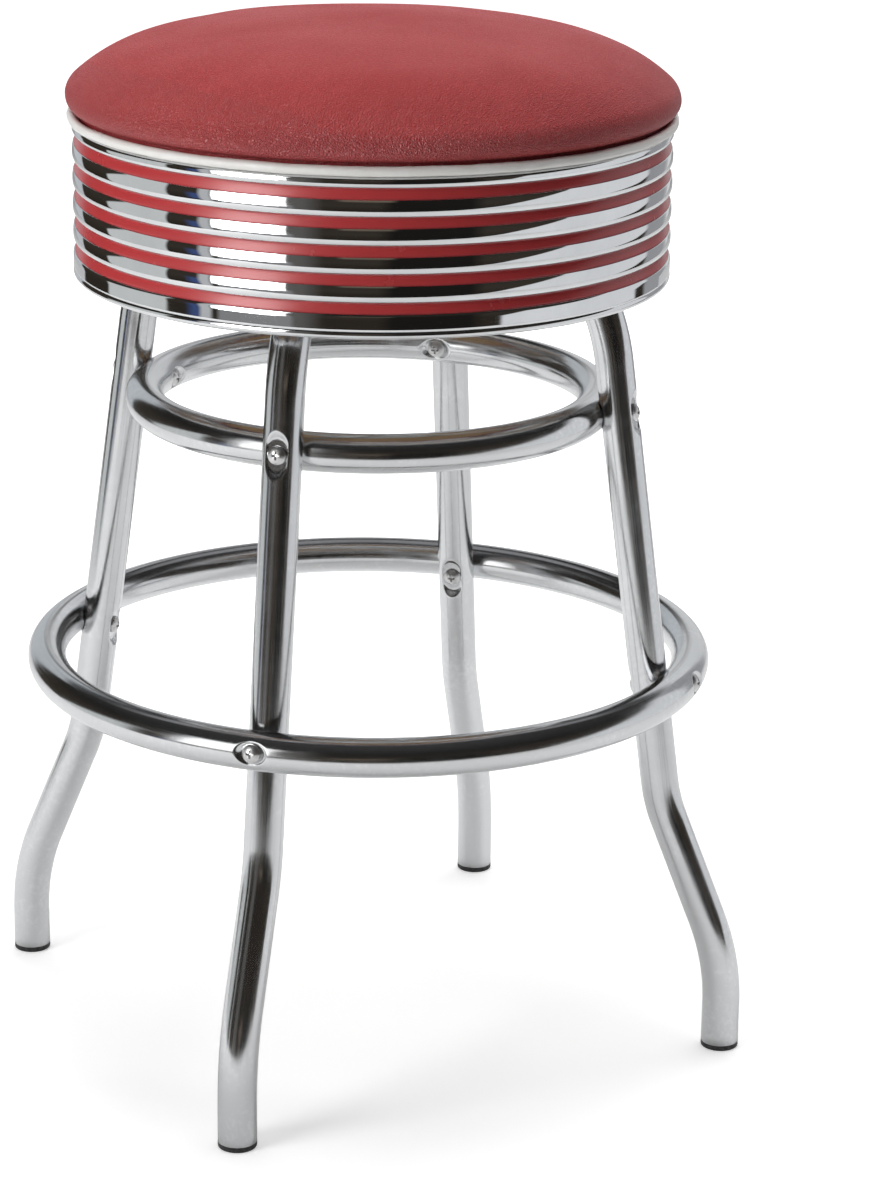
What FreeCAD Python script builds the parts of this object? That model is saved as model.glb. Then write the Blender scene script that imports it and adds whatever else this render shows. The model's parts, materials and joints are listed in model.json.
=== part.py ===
import FreeCAD, Part
import math
import os

from FreeCAD import Vector

# Diner counter stool. Four bent tube legs carry two bolted rings, a ball
# swivel and a round padded seat with a ribbed chromed band round its side.
# Millimetres, +Z up. The origin is on the floor, under the middle of the seat.
# The front leg stands at -Y, the right leg at +X.

# Overall sizes
SEAT_HEIGHT = 600.0
SEAT_RADIUS = 177.0
FOOT_RADIUS = 223.0

# Leg tube and its bends, measured on the centreline
TUBE_OD = 22.2
TUBE_WALL = 1.2
ANKLE_HEIGHT = 55.0
ANKLE_BEND = 135.0
KNEE_HEIGHT = 151.3
KNEE_RADIUS = 182.6
KNEE_BEND = 96.0
LEG_LEAN = 7.9
LEVEL_RUN_RADIUS = 24.0

# Rings and the places where they cross the legs
LOWER_RING_HEIGHT = 224.3
UPPER_RING_HEIGHT = 380.6
NEST_DEPTH = 3.6
DIMPLE_LENGTH = 19.0
DIMPLE_WIDTH = 11.0
DIMPLE_DEPTH = 2.9
DIMPLE_FLARE = 1.2
DIMPLE_SHELL_SHARE = 0.8

# Ring bolts and sleeve nuts
RING_HEAD_RADIUS = 5.2
RING_HEAD_HEIGHT = 3.4
RING_BOLT_RADIUS = 3.0
SLEEVE_RADIUS = 4.0
SLEEVE_STOP = 7.0

# Foot caps
CAP_THICKNESS = 3.5
CAP_ROUND = 1.2
PLUG_LENGTH = 18.0

# Cushion, from its widest line up to the crown and down to the seam
SHOULDER_ROUND = 14.0
SHOULDER_TURN = 48.5
CROWN_EDGE_ROUND = 102.4
CROWN_EDGE_TURN = 34.1
EDGE_ROLL = 9.0
VINYL = 1.2
FOAM_EDGE = 3.8
TAIL_WIDTH = 25.0
BOARD_THICKNESS = 12.0

# Piping
PIPING_RADIUS = 2.75
PIPING_TAPE = 1.2
TAPE_WIDTH = 6.5
TAPE_SEWN_IN = 0.2

# Side band and its stripes
BAND_WALL = 1.0
BAND_STANDOFF = 3.7
BAND_FLANGE = 17.0
TOP_RIB_HEIGHT = 7.15
TOP_RIB_BEND = 2.5
TOP_RIB_CURVE = 3.0
STRIPE_COUNT = 5
STRIPE_PITCH = 15.5
STRIPE_HEIGHT = 5.4
STRIPE_THICKNESS = 0.8
STRIPE_SET_BACK = 0.3
RIB_DRAW_IN = 2.2
RIB_HEAD_DRAW_IN = 0.44
RIB_CREST_SHARE = 0.35
BAND_CORNER_LOW = 0.9
BAND_CORNER_HIGH = 0.6
BAND_FOOT = 13.9
CURL_RADIUS = 2.65
CURL_STEP_OUT = 0.1
CURL_START = 40.0
CURL_END = -235.0

# Swivel
PLATE_SIDE = 120.0
PLATE_CORNER = 10.0
PLATE_THICKNESS = 2.5
BALL_DIAMETER = 9.5
BALL_COUNT = 20
BALL_PITCH_RADIUS = 42.0
GROOVE_DEPTH = 0.8
CAGE_THICKNESS = 1.0
CAGE_WEB = 0.75
RIVET_RADIUS = 6.0
RIVET_HEAD_RADIUS = 12.0
RIVET_HEAD_HEIGHT = 2.5

# Leg bolts, nuts and saddles
LEG_BOLT_RADIUS = 3.0
HEX_ACROSS_FLATS = 10.0
LEG_BOLT_HEAD = 4.0
LEG_NUT_HEIGHT = 5.0
LEG_BOLT_TIP = 0.5
SADDLE_RADIUS = 8.0
SADDLE_THICKNESS = 1.5

# Wood screws, band screws and staples
PLATE_SCREW_HEAD = 4.0
PLATE_SCREW_RADIUS = 2.0
PLATE_SCREW_LENGTH = 9.5
PLATE_SCREW_INSET = 10.0
BAND_SCREW_HEAD = 3.4
BAND_SCREW_RADIUS = 1.6
BAND_SCREW_LENGTH = 9.0
BAND_SCREW_COUNT = 8
STAPLE_COUNT = 24
STAPLE_WIDTH = 10.0
STAPLE_LEG = 6.0
STAPLE_WIRE = 0.9

# Fits and clearances. A cutter runs OVERRUN past the face that it opens.
TOUCH = 0.05
OVERRUN = 1.0
SOFT_CLEARANCE = 0.3
RUNNING_CLEARANCE = 0.05
BALL_CLEARANCE = 0.3
NEST_CLEARANCE = 0.1
HOLE_CLEARANCE = 0.25

LEG_TURNS = {"right": 0.0, "back": 90.0, "left": 180.0, "front": 270.0}
ORIGIN = Vector(0, 0, 0)
UP = Vector(0, 0, 1)

tube_radius = TUBE_OD / 2
bore_radius = tube_radius - TUBE_WALL
lean = math.radians(LEG_LEAN)


# Small geometry helpers

def point(radius, height):
    """A point of a section drawn in the XZ plane."""
    return Vector(radius, 0, height)


def polar(centre, radius, degrees):
    """The point of a circle round centre, in the XZ plane."""
    angle = math.radians(degrees)
    return centre + point(radius * math.cos(angle), radius * math.sin(angle))


def line(start, end):
    return Part.LineSegment(start, end).toShape()


def arc(start, middle, end):
    return Part.Arc(start, middle, end).toShape()


def lines_through(points):
    return [line(a, b) for a, b in zip(points, points[1:])]


def turned(edges):
    """The solid that a closed section sweeps round the stool's axis."""
    return Part.Face(Part.Wire(edges)).revolve(ORIGIN, UP, 360)


def washer(inner, outer, bottom, top):
    """A flat ring, or a disc where inner is zero."""
    corners = [point(inner, bottom), point(outer, bottom), point(outer, top), point(inner, top)]
    return turned(lines_through(corners + corners[:1]))


def rod(radius, bottom, top):
    return Part.makeCylinder(radius, top - bottom, Vector(0, 0, bottom))


def turned_to(shape, degrees):
    """A copy of the shape turned round the stool's axis."""
    copy = shape.copy()
    copy.rotate(ORIGIN, UP, degrees)
    return copy


def moved(shape, x, y, z):
    copy = shape.copy()
    copy.translate(Vector(x, y, z))
    return copy


def around(shape, count, start=0.0):
    return [turned_to(shape, start + 360.0 * i / count) for i in range(count)]


def cut_all(shape, tools):
    return shape.cut(Part.Compound(tools)) if tools else shape


def save(name, shapes):
    """Write one node. A list of solids becomes a group in that node."""
    solids = shapes if isinstance(shapes, list) else [shapes]
    shape = solids[0] if len(solids) == 1 else Part.Compound(solids)
    shape.exportStep(os.path.join("parts", name + ".step"))


def hex_prism(height):
    """A hexagonal prism standing on z = 0."""
    corner = HEX_ACROSS_FLATS / 2 / math.cos(math.radians(30))
    ring = [Vector(corner * math.cos(math.radians(a)), corner * math.sin(math.radians(a)), 0)
            for a in range(0, 420, 60)]
    return Part.Face(Part.makePolygon(ring)).extrude(Vector(0, 0, height))


def cross_recess(top, radius, depth):
    """The tapered cross of a screwdriver slot, open at z = top."""
    taper = Part.makeCone(radius * 0.3, radius, depth, Vector(0, 0, top - depth))
    width = radius * 0.45
    span = 2 * radius
    bar = Part.makeBox(span, width, depth, Vector(-radius, -width / 2, top - depth))
    other = Part.makeBox(width, span, depth, Vector(-width / 2, -radius, top - depth))
    return bar.fuse(other).common(taper)


def pan_head(radius, height):
    """A domed screw head standing on z = 0, with its cross recess."""
    wall = height * 0.35
    rise = height - wall
    dome_radius = (radius ** 2 + rise ** 2) / (2 * rise)
    half_span = math.degrees(math.asin(radius / dome_radius)) / 2
    middle = polar(point(0, height - dome_radius), dome_radius, 90 - half_span)
    dome = [line(point(0, 0), point(radius, 0)),
            line(point(radius, 0), point(radius, wall)),
            arc(point(radius, wall), middle, point(0, height)),
            line(point(0, height), point(0, 0))]
    return turned(dome).cut(cross_recess(height, radius * 0.56, height * 0.55))


def wood_screw(head_radius, shank_radius, length):
    """A screw pointing up, its head hanging below z = 0."""
    head = pan_head(head_radius, head_radius * 0.6)
    head.rotate(ORIGIN, Vector(1, 0, 0), 180)
    tip = shank_radius * 2
    body = rod(shank_radius, 0, length - tip)
    point_end = Part.makeCone(shank_radius, 0.2, tip, Vector(0, 0, length - tip))
    return head.fuse([body, point_end]).removeSplitter()


# Heights that follow from the cushion, from the top down

def crown_arcs(inset, widest):
    """Centres, radii and end angles of the three arcs above the widest line."""
    shoulder = SHOULDER_ROUND - inset
    shoulder_centre = point(SEAT_RADIUS - SHOULDER_ROUND, widest)
    joint = polar(shoulder_centre, SHOULDER_ROUND, SHOULDER_TURN)
    edge_centre = polar(joint, -CROWN_EDGE_ROUND, SHOULDER_TURN)
    slope = SHOULDER_TURN + CROWN_EDGE_TURN
    crown_joint = polar(edge_centre, CROWN_EDGE_ROUND, slope)
    crown_round = crown_joint.x / math.cos(math.radians(slope))
    crown_centre = polar(crown_joint, -crown_round, slope)
    return [(shoulder_centre, shoulder, 0.0, SHOULDER_TURN),
            (edge_centre, CROWN_EDGE_ROUND - inset, SHOULDER_TURN, slope),
            (crown_centre, crown_round - inset, slope, 90.0)]


def crown_rise():
    centre, radius, _, end = crown_arcs(0.0, 0.0)[-1]
    return polar(centre, radius, end).z


widest_height = SEAT_HEIGHT - crown_rise()
skirt_radius = SEAT_RADIUS - EDGE_ROLL
tape_inner = skirt_radius + 3 * TOUCH
tape_outer = tape_inner + PIPING_TAPE
piping_centre_radius = tape_outer + PIPING_RADIUS - TAPE_SEWN_IN
piping_reach = EDGE_ROLL + SOFT_CLEARANCE + PIPING_RADIUS
piping_drop = math.sqrt(piping_reach ** 2 - (piping_centre_radius - skirt_radius) ** 2)
piping_height = widest_height - piping_drop
flange_top = piping_height - PIPING_RADIUS - 4 * TOUCH
tape_bottom = flange_top + TOUCH
tail_bottom = tape_bottom + PIPING_TAPE + TOUCH
tail_top = tail_bottom + VINYL
board_bottom = tail_top + TOUCH
board_top = board_bottom + BOARD_THICKNESS
board_radius = skirt_radius - VINYL - FOAM_EDGE
tail_inner = skirt_radius - TAIL_WIDTH
flange_inner = skirt_radius - BAND_FLANGE

upper_plate_bottom = board_bottom - PLATE_THICKNESS
ball_radius = BALL_DIAMETER / 2
lower_plate_top = upper_plate_bottom - (BALL_DIAMETER - 2 * GROOVE_DEPTH)
lower_plate_bottom = lower_plate_top - PLATE_THICKNESS
ball_height = lower_plate_top - GROOVE_DEPTH + ball_radius
run_height = lower_plate_bottom - SADDLE_THICKNESS - tube_radius

# Leg centreline above the knee: a straight leaning in, one wide bend, a level run
leg_end_radius = RIVET_HEAD_RADIUS + SADDLE_THICKNESS
top_corner_radius = KNEE_RADIUS - (run_height - KNEE_HEIGHT) * math.tan(lean)
half_top_turn = (math.pi / 2 - lean) / 2
top_bend = (top_corner_radius - LEVEL_RUN_RADIUS) / math.tan(half_top_turn)
top_bend_centre = point(LEVEL_RUN_RADIUS, run_height - top_bend)


def leg_line_height(radius, offset):
    """Height of the line that runs beside the centreline, under the seat."""
    if radius <= LEVEL_RUN_RADIUS:
        return run_height + offset
    return top_bend_centre.z + math.sqrt((top_bend + offset) ** 2 - (radius - LEVEL_RUN_RADIUS) ** 2)


# Legs

def rounded_path(corners, radii):
    """Straight runs through the corners, joined by tangent arcs."""
    edges = []
    last = corners[0]
    for before, corner, after, radius in zip(corners, corners[1:], corners[2:], radii):
        way_in = (corner - before).normalize()
        way_out = (after - corner).normalize()
        half_turn = way_in.getAngle(way_out) / 2
        reach = radius * math.tan(half_turn)
        inward = (way_out - way_in).normalize()
        middle = corner + inward * (radius / math.cos(half_turn) - radius)
        start = corner - way_in * reach
        end = corner + way_out * reach
        edges += [line(last, start), arc(start, middle, end)]
        last = end
    edges.append(line(last, corners[-1]))
    return Part.Wire(edges)


def tube_along(path, radius):
    """A solid round bar swept along a path that starts upright."""
    rim = Part.Wire(Part.makeCircle(radius, path.Vertexes[0].Point, UP))
    return path.makePipeShell([rim], True, False)


def leg_path(overrun=0.0):
    """Centreline of the right leg, from the foot to its end under the seat."""
    corners = [point(FOOT_RADIUS, CAP_THICKNESS - overrun),
               point(FOOT_RADIUS, ANKLE_HEIGHT),
               point(KNEE_RADIUS, KNEE_HEIGHT),
               point(top_corner_radius, run_height),
               point(leg_end_radius - overrun, run_height)]
    return rounded_path(corners, [ANKLE_BEND, KNEE_BEND, top_bend])


# Crossings of legs and rings. In the local frame of a crossing x follows the
# ring, y follows the leg and z points outwards along the bolt.

nest_distance = TUBE_OD - NEST_DEPTH
seat_offset = nest_distance / 2 + tube_radius - DIMPLE_DEPTH


class Crossing:
    """One ring, its radius and the place where it meets the right leg."""

    def __init__(self, height, side):
        self.height = height
        self.side = side
        reach = side * nest_distance
        rise = max(0.0, height - top_bend_centre.z)
        on_bend = math.asin(min(1.0, rise / (top_bend + reach)))
        tilt = max(lean, on_bend)
        leg_height = height - reach * math.sin(tilt)
        if on_bend > lean:
            leg_radius = LEVEL_RUN_RADIUS + top_bend * math.cos(tilt)
        else:
            leg_radius = KNEE_RADIUS - (leg_height - KNEE_HEIGHT) * math.tan(lean)
        self.ring_radius = leg_radius + reach * math.cos(tilt)
        outward = point(math.cos(tilt), math.sin(tilt))
        along_leg = point(-math.sin(tilt), math.cos(tilt))
        middle = point(leg_radius, leg_height) + outward * (reach / 2)
        turn = FreeCAD.Rotation(Vector(0, 1, 0), along_leg, outward, "XYZ")
        self.place = FreeCAD.Placement(middle, turn)

    def put(self, shape):
        copy = shape.copy()
        copy.Placement = self.place.multiply(copy.Placement)
        return copy


def slot_outline(length, width, height):
    """A long hole's outline with round ends, in a plane of constant z."""
    r = width / 2
    x = length / 2 - r
    return Part.Wire([
        line(Vector(-x, -r, height), Vector(x, -r, height)),
        arc(Vector(x, -r, height), Vector(x + r, 0, height), Vector(x, r, height)),
        line(Vector(x, r, height), Vector(-x, r, height)),
        arc(Vector(-x, r, height), Vector(-x - r, 0, height), Vector(-x, -r, height))])


def dimple(shell, along_leg, outer):
    """Press tool of the seat for a bolt head. A shell moves it into the bore."""
    floor = seat_offset - shell
    rise = DIMPLE_DEPTH + shell + 2 * OVERRUN
    widen = 2 * shell * DIMPLE_SHELL_SHARE
    flare = 2 * rise * DIMPLE_FLARE
    low = slot_outline(DIMPLE_LENGTH + widen, DIMPLE_WIDTH + widen, floor)
    high = slot_outline(DIMPLE_LENGTH + widen + flare, DIMPLE_WIDTH + widen + flare, floor + rise)
    tool = Part.makeLoft([low, high], True, True)
    if along_leg:
        tool.rotate(ORIGIN, UP, 90)
    if not outer:
        tool.rotate(ORIGIN, Vector(1, 0, 0), 180)
    return tool


def crossing_holes():
    """Clearance for the sleeve nut, then for the thinner bolt."""
    step = seat_offset - SLEEVE_STOP / 2
    sleeve = rod(SLEEVE_RADIUS + HOLE_CLEARANCE, -seat_offset - RING_HEAD_HEIGHT, step)
    bolt = rod(RING_BOLT_RADIUS + HOLE_CLEARANCE, step - OVERRUN, seat_offset + RING_HEAD_HEIGHT)
    return sleeve.fuse(bolt)


def ring_bolt():
    shank_end = -seat_offset + SLEEVE_STOP
    head = moved(pan_head(RING_HEAD_RADIUS, RING_HEAD_HEIGHT), 0, 0, seat_offset)
    return head.fuse(rod(RING_BOLT_RADIUS, shank_end, seat_offset))


def ring_sleeve_nut():
    head = pan_head(RING_HEAD_RADIUS, RING_HEAD_HEIGHT)
    head.rotate(ORIGIN, Vector(1, 0, 0), 180)
    head.translate(Vector(0, 0, -seat_offset))
    barrel_end = seat_offset - SLEEVE_STOP
    barrel = rod(SLEEVE_RADIUS, -seat_offset, barrel_end)
    bore_end = -seat_offset + SLEEVE_STOP / 2
    bore = rod(RING_BOLT_RADIUS + RUNNING_CLEARANCE, bore_end, barrel_end + OVERRUN)
    return head.fuse(barrel).cut(bore)


lower_crossing = Crossing(LOWER_RING_HEIGHT, 1)
upper_crossing = Crossing(UPPER_RING_HEIGHT, -1)


def leg_bolt_radii():
    """Distances of a leg's two bolts from the stool's axis."""
    nut_reach = HEX_ACROSS_FLATS / 2 / math.cos(math.radians(30))
    inner = leg_end_radius + SADDLE_RADIUS + LEG_BOLT_TIP
    outer = BALL_PITCH_RADIUS + ball_radius + nut_reach + SADDLE_THICKNESS
    return [inner, outer]


def make_leg():
    """The right leg, hollow, with its two pressed seats and its holes."""
    outside = tube_along(leg_path(), tube_radius)
    hollow = tube_along(leg_path(OVERRUN), bore_radius)
    presses = []
    inner_presses = []
    holes = []
    for crossing in (lower_crossing, upper_crossing):
        outer = crossing.side < 0
        presses.append(crossing.put(dimple(0.0, True, outer)))
        inner_presses.append(crossing.put(dimple(TUBE_WALL, True, outer)))
        holes.append(crossing.put(crossing_holes()))
    for radius in leg_bolt_radii():
        bottom = leg_line_height(radius, -2 * tube_radius)
        hole = rod(LEG_BOLT_RADIUS + HOLE_CLEARANCE, bottom, lower_plate_bottom)
        holes.append(moved(hole, radius, 0, 0))
    leg = cut_all(outside, presses).cut(cut_all(hollow, inner_presses))
    return cut_all(leg, holes)


def make_ring(crossing):
    """A hoop of tube, pressed in where the legs nest and where the heads seat."""
    centre = Vector(0, 0, crossing.height)
    outside = Part.makeTorus(crossing.ring_radius, tube_radius, centre)
    hollow = Part.makeTorus(crossing.ring_radius, bore_radius, centre)
    outer = crossing.side > 0
    path = leg_path()
    nest = tube_along(path, tube_radius + NEST_CLEARANCE)
    inner_nest = tube_along(path, tube_radius + NEST_CLEARANCE + TUBE_WALL)
    press = crossing.put(dimple(0.0, False, outer))
    inner_press = crossing.put(dimple(TUBE_WALL, False, outer))
    hole = crossing.put(crossing_holes())
    for turn in LEG_TURNS.values():
        outside = outside.cut(turned_to(nest, turn)).cut(turned_to(press, turn))
        hollow = hollow.cut(turned_to(inner_nest, turn)).cut(turned_to(inner_press, turn))
    ring = outside.cut(hollow)
    return cut_all(ring, [turned_to(hole, turn) for turn in LEG_TURNS.values()])


def make_foot_cap():
    """A disc under the tube's end with a plug that grips the bore."""
    plug = bore_radius - TOUCH
    low = CAP_ROUND
    corner = polar(point(tube_radius - CAP_ROUND, CAP_ROUND), CAP_ROUND, -45)
    section = [line(point(0, 0), point(tube_radius - CAP_ROUND, 0)),
               arc(point(tube_radius - CAP_ROUND, 0), corner, point(tube_radius, low))]
    section += lines_through([point(tube_radius, low), point(tube_radius, CAP_THICKNESS),
                              point(plug, CAP_THICKNESS), point(plug, CAP_THICKNESS + PLUG_LENGTH),
                              point(0, CAP_THICKNESS + PLUG_LENGTH), point(0, 0)])
    return moved(turned(section), FOOT_RADIUS, 0, 0)


def make_base():
    leg = make_leg()
    cap = make_foot_cap()
    for name, turn in LEG_TURNS.items():
        save("leg_" + name, turned_to(leg, turn))
        save("foot_cap_" + name, turned_to(cap, turn))
    save("lower_ring", make_ring(lower_crossing))
    save("upper_ring", make_ring(upper_crossing))
    bolts = []
    nuts = []
    for crossing in (lower_crossing, upper_crossing):
        for turn in LEG_TURNS.values():
            bolts.append(turned_to(crossing.put(ring_bolt()), turn))
            nuts.append(turned_to(crossing.put(ring_sleeve_nut()), turn))
    save("ring_bolts", bolts)
    save("ring_sleeve_nuts", nuts)


# Swivel and what bolts it to the legs

def square_plate(bottom):
    """A square plate with round corners that lie over the legs."""
    half = PLATE_SIDE / 2
    plate = Part.makeBox(PLATE_SIDE, PLATE_SIDE, PLATE_THICKNESS, Vector(-half, -half, bottom))
    upright = [e for e in plate.Edges if abs(e.tangentAt(e.FirstParameter).z) > 0.9]
    return turned_to(plate.makeFillet(PLATE_CORNER, upright), 45)


def head_seat(radius):
    """Height of the flat that a leg bolt's head bears on."""
    return leg_line_height(radius + SADDLE_RADIUS, -tube_radius) - SADDLE_THICKNESS


def make_saddles():
    """Shaped washers above and below the right leg's tube at each bolt."""
    tube = tube_along(leg_path(OVERRUN), tube_radius + TOUCH)
    pieces = []
    for radius in leg_bolt_radii():
        outer_edge = radius + SADDLE_RADIUS
        low = leg_line_height(outer_edge, tube_radius) - SADDLE_THICKNESS
        upper = rod(SADDLE_RADIUS, low, lower_plate_bottom)
        top = leg_line_height(radius, -tube_radius) + SADDLE_THICKNESS
        lower = rod(SADDLE_RADIUS, head_seat(radius), top)
        for blank in (upper, lower):
            drilled = blank.cut(rod(LEG_BOLT_RADIUS + HOLE_CLEARANCE, head_seat(radius) - OVERRUN,
                                    lower_plate_top))
            pieces.append(moved(drilled, radius, 0, 0).cut(tube))
    return pieces


def make_leg_bolt(radius):
    """A hexagon bolt pointing up through saddles, tube and plate."""
    seat = head_seat(radius)
    tip = lower_plate_top + LEG_NUT_HEIGHT + LEG_BOLT_TIP
    head = moved(hex_prism(LEG_BOLT_HEAD), 0, 0, seat - LEG_BOLT_HEAD)
    return moved(head.fuse(rod(LEG_BOLT_RADIUS, seat, tip)), radius, 0, 0)


def make_leg_nut(radius):
    bore = rod(LEG_BOLT_RADIUS + TOUCH, -OVERRUN, LEG_NUT_HEIGHT + OVERRUN)
    return moved(hex_prism(LEG_NUT_HEIGHT).cut(bore), radius, 0, lower_plate_top)


def plate_screw_radius():
    """The screws sit in from the corners of the upper plate."""
    corner_reach = PLATE_SIDE / 2 * math.sqrt(2) - PLATE_CORNER * (math.sqrt(2) - 1)
    return corner_reach - PLATE_SCREW_INSET


def make_swivel():
    turns = LEG_TURNS.values()
    radii = leg_bolt_radii()
    bolt_hole = rod(LEG_BOLT_RADIUS + HOLE_CLEARANCE, lower_plate_bottom - OVERRUN,
                    lower_plate_top + OVERRUN)
    bolt_holes = [turned_to(moved(bolt_hole, r, 0, 0), turn) for r in radii for turn in turns]
    groove_centre = Vector(0, 0, ball_height)

    lower = square_plate(lower_plate_bottom)
    lower = lower.cut(Part.makeTorus(BALL_PITCH_RADIUS, ball_radius + TOUCH, groove_centre))
    lower = lower.cut(rod(RIVET_RADIUS + TOUCH, lower_plate_bottom - OVERRUN,
                          lower_plate_top + OVERRUN))
    save("swivel_lower_plate", cut_all(lower, bolt_holes))

    upper = square_plate(upper_plate_bottom)
    upper = upper.cut(Part.makeTorus(BALL_PITCH_RADIUS, ball_radius + BALL_CLEARANCE, groove_centre))
    below = upper_plate_bottom - OVERRUN
    above = board_bottom + OVERRUN
    upper = upper.cut(rod(RIVET_RADIUS + RUNNING_CLEARANCE, below, above))
    screw_hole = moved(rod(PLATE_SCREW_RADIUS + HOLE_CLEARANCE, below, above),
                       plate_screw_radius(), 0, 0)
    save("swivel_upper_plate", cut_all(upper, around(screw_hole, 4)))

    ball = Part.makeSphere(ball_radius, Vector(BALL_PITCH_RADIUS, 0, ball_height))
    save("swivel_balls", around(ball, BALL_COUNT))

    half_cage = CAGE_THICKNESS / 2
    web = ball_radius + CAGE_WEB
    cage = washer(BALL_PITCH_RADIUS - web, BALL_PITCH_RADIUS + web,
                  ball_height - half_cage, ball_height + half_cage)
    pocket = moved(rod(ball_radius + 3 * TOUCH, -CAGE_THICKNESS, CAGE_THICKNESS),
                   BALL_PITCH_RADIUS, 0, ball_height)
    save("swivel_ball_cage", cut_all(cage, around(pocket, BALL_COUNT)))

    rivet_top = board_bottom + BALL_CLEARANCE + RIVET_HEAD_HEIGHT
    rivet = rod(RIVET_RADIUS, lower_plate_bottom, rivet_top)
    lower_head = rod(RIVET_HEAD_RADIUS, lower_plate_bottom - RIVET_HEAD_HEIGHT, lower_plate_bottom)
    upper_head = rod(RIVET_HEAD_RADIUS, rivet_top - RIVET_HEAD_HEIGHT, rivet_top)
    save("swivel_rivet", rivet.fuse([lower_head, upper_head]).removeSplitter())

    saddles = make_saddles()
    save("leg_saddles", [turned_to(s, turn) for s in saddles for turn in turns])
    save("leg_bolts", [turned_to(make_leg_bolt(r), turn) for r in radii for turn in turns])
    save("leg_bolt_nuts", [turned_to(make_leg_nut(r), turn) for r in radii for turn in turns])


# Seat

def cushion_edges(inset):
    """Half outline from the crown's top to the foot of the roll, moved inwards."""
    edges = []
    for centre, radius, start, end in crown_arcs(inset, widest_height)[::-1]:
        middle = (start + end) / 2
        edges.append(arc(polar(centre, radius, end), polar(centre, radius, middle),
                         polar(centre, radius, start)))
    roll = EDGE_ROLL - inset
    roll_centre = point(skirt_radius, widest_height)
    edges.append(arc(polar(roll_centre, roll, 0), polar(roll_centre, roll, -45),
                     polar(roll_centre, roll, -90)))
    return edges


def outline_ends(edges):
    """Top of the crown and foot of the roll."""
    return edges[0].Vertexes[0].Point, edges[-1].Vertexes[-1].Point


def make_cover():
    """Vinyl skin over crown and side, with its tail turned under the board."""
    outer = cushion_edges(0.0)
    inner = cushion_edges(VINYL)
    outer_top, outer_foot = outline_ends(outer)
    inner_top, inner_foot = outline_ends(inner)
    skirt = lines_through([outer_foot, point(skirt_radius, tail_bottom),
                           point(tail_inner, tail_bottom), point(tail_inner, tail_top),
                           point(skirt_radius - VINYL, tail_top),
                           point(skirt_radius - VINYL, inner_foot.z), inner_foot])
    return turned(outer + skirt + inner[::-1] + [line(inner_top, outer_top)])


def make_foam():
    """Foam dome on the board, wrapped down round the board's edge."""
    edges = cushion_edges(VINYL + TOUCH)
    top, foot = outline_ends(edges)
    edge = skirt_radius - VINYL - TOUCH
    inside = lines_through([foot, point(edge, foot.z), point(edge, board_bottom),
                            point(board_radius + TOUCH, board_bottom),
                            point(board_radius + TOUCH, board_top + TOUCH),
                            point(0, board_top + TOUCH), top])
    return turned(edges + inside)


def staple(grow=0.0):
    """A wire staple whose crown presses the tail up against the board."""
    wire = STAPLE_WIRE + 2 * grow
    crown_bottom = tail_bottom - STAPLE_WIRE
    crown_top = tail_bottom + STAPLE_LEG + grow
    middle = (tail_inner + flange_inner) / 2
    half = STAPLE_WIDTH / 2
    crown = Part.makeBox(wire, STAPLE_WIDTH + 2 * grow, STAPLE_WIRE,
                         Vector(middle - wire / 2, -half - grow, crown_bottom))
    legs = [Part.makeBox(wire, wire, crown_top - crown_bottom,
                         Vector(middle - wire / 2, side - wire / 2, crown_bottom))
            for side in (-half + STAPLE_WIRE / 2, half - STAPLE_WIRE / 2)]
    return crown.fuse(legs).removeSplitter()


def band_screw_radius():
    """The screws go up through the flange, clear of the piping's tape."""
    return (flange_inner + tape_outer - TAPE_WIDTH) / 2


def make_seat():
    board = rod(board_radius, board_bottom, board_top)
    recess = rod(RIVET_HEAD_RADIUS + SADDLE_THICKNESS, board_bottom - OVERRUN,
                 board_bottom + RIVET_HEAD_HEIGHT + 4 * BALL_CLEARANCE)
    plate_pilot = moved(rod(PLATE_SCREW_RADIUS + TOUCH, board_bottom - OVERRUN,
                            upper_plate_bottom + PLATE_SCREW_LENGTH + TOUCH),
                        plate_screw_radius(), 0, 0)
    flange_bottom = flange_top - BAND_WALL
    band_pilot = moved(rod(BAND_SCREW_RADIUS + TOUCH, flange_bottom - OVERRUN,
                           flange_bottom + BAND_SCREW_LENGTH + TOUCH), band_screw_radius(), 0, 0)
    half_step = 180.0 / BAND_SCREW_COUNT
    band_pilots = around(band_pilot, BAND_SCREW_COUNT, half_step)
    staple_slots = around(staple(TOUCH), STAPLE_COUNT)
    save("seat_board", cut_all(board, [recess] + around(plate_pilot, 4) + band_pilots + staple_slots))
    save("seat_foam", make_foam())
    save("seat_cover", cut_all(make_cover(), band_pilots + staple_slots))
    save("cover_staples", around(staple(), STAPLE_COUNT))

    plate_screw = wood_screw(PLATE_SCREW_HEAD, PLATE_SCREW_RADIUS, PLATE_SCREW_LENGTH)
    placed = moved(plate_screw, plate_screw_radius(), 0, upper_plate_bottom)
    save("plate_screws", around(placed, 4))
    band_screw = wood_screw(BAND_SCREW_HEAD, BAND_SCREW_RADIUS, BAND_SCREW_LENGTH)
    placed = moved(band_screw, band_screw_radius(), 0, flange_bottom)
    save("band_screws", around(placed, BAND_SCREW_COUNT, half_step))

    bead = Part.makeTorus(piping_centre_radius, PIPING_RADIUS, Vector(0, 0, piping_height))
    tape_inside = tape_outer - TAPE_WIDTH
    tape = washer(tape_inside, tape_outer, tape_bottom, tape_bottom + PIPING_TAPE)
    upright = washer(tape_inner, tape_outer, tape_bottom, piping_height)
    save("seat_piping", bead.fuse([tape, upright]).removeSplitter())


# Side band

def stripe_top(index):
    return flange_top - TOP_RIB_HEIGHT - index * STRIPE_PITCH


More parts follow.
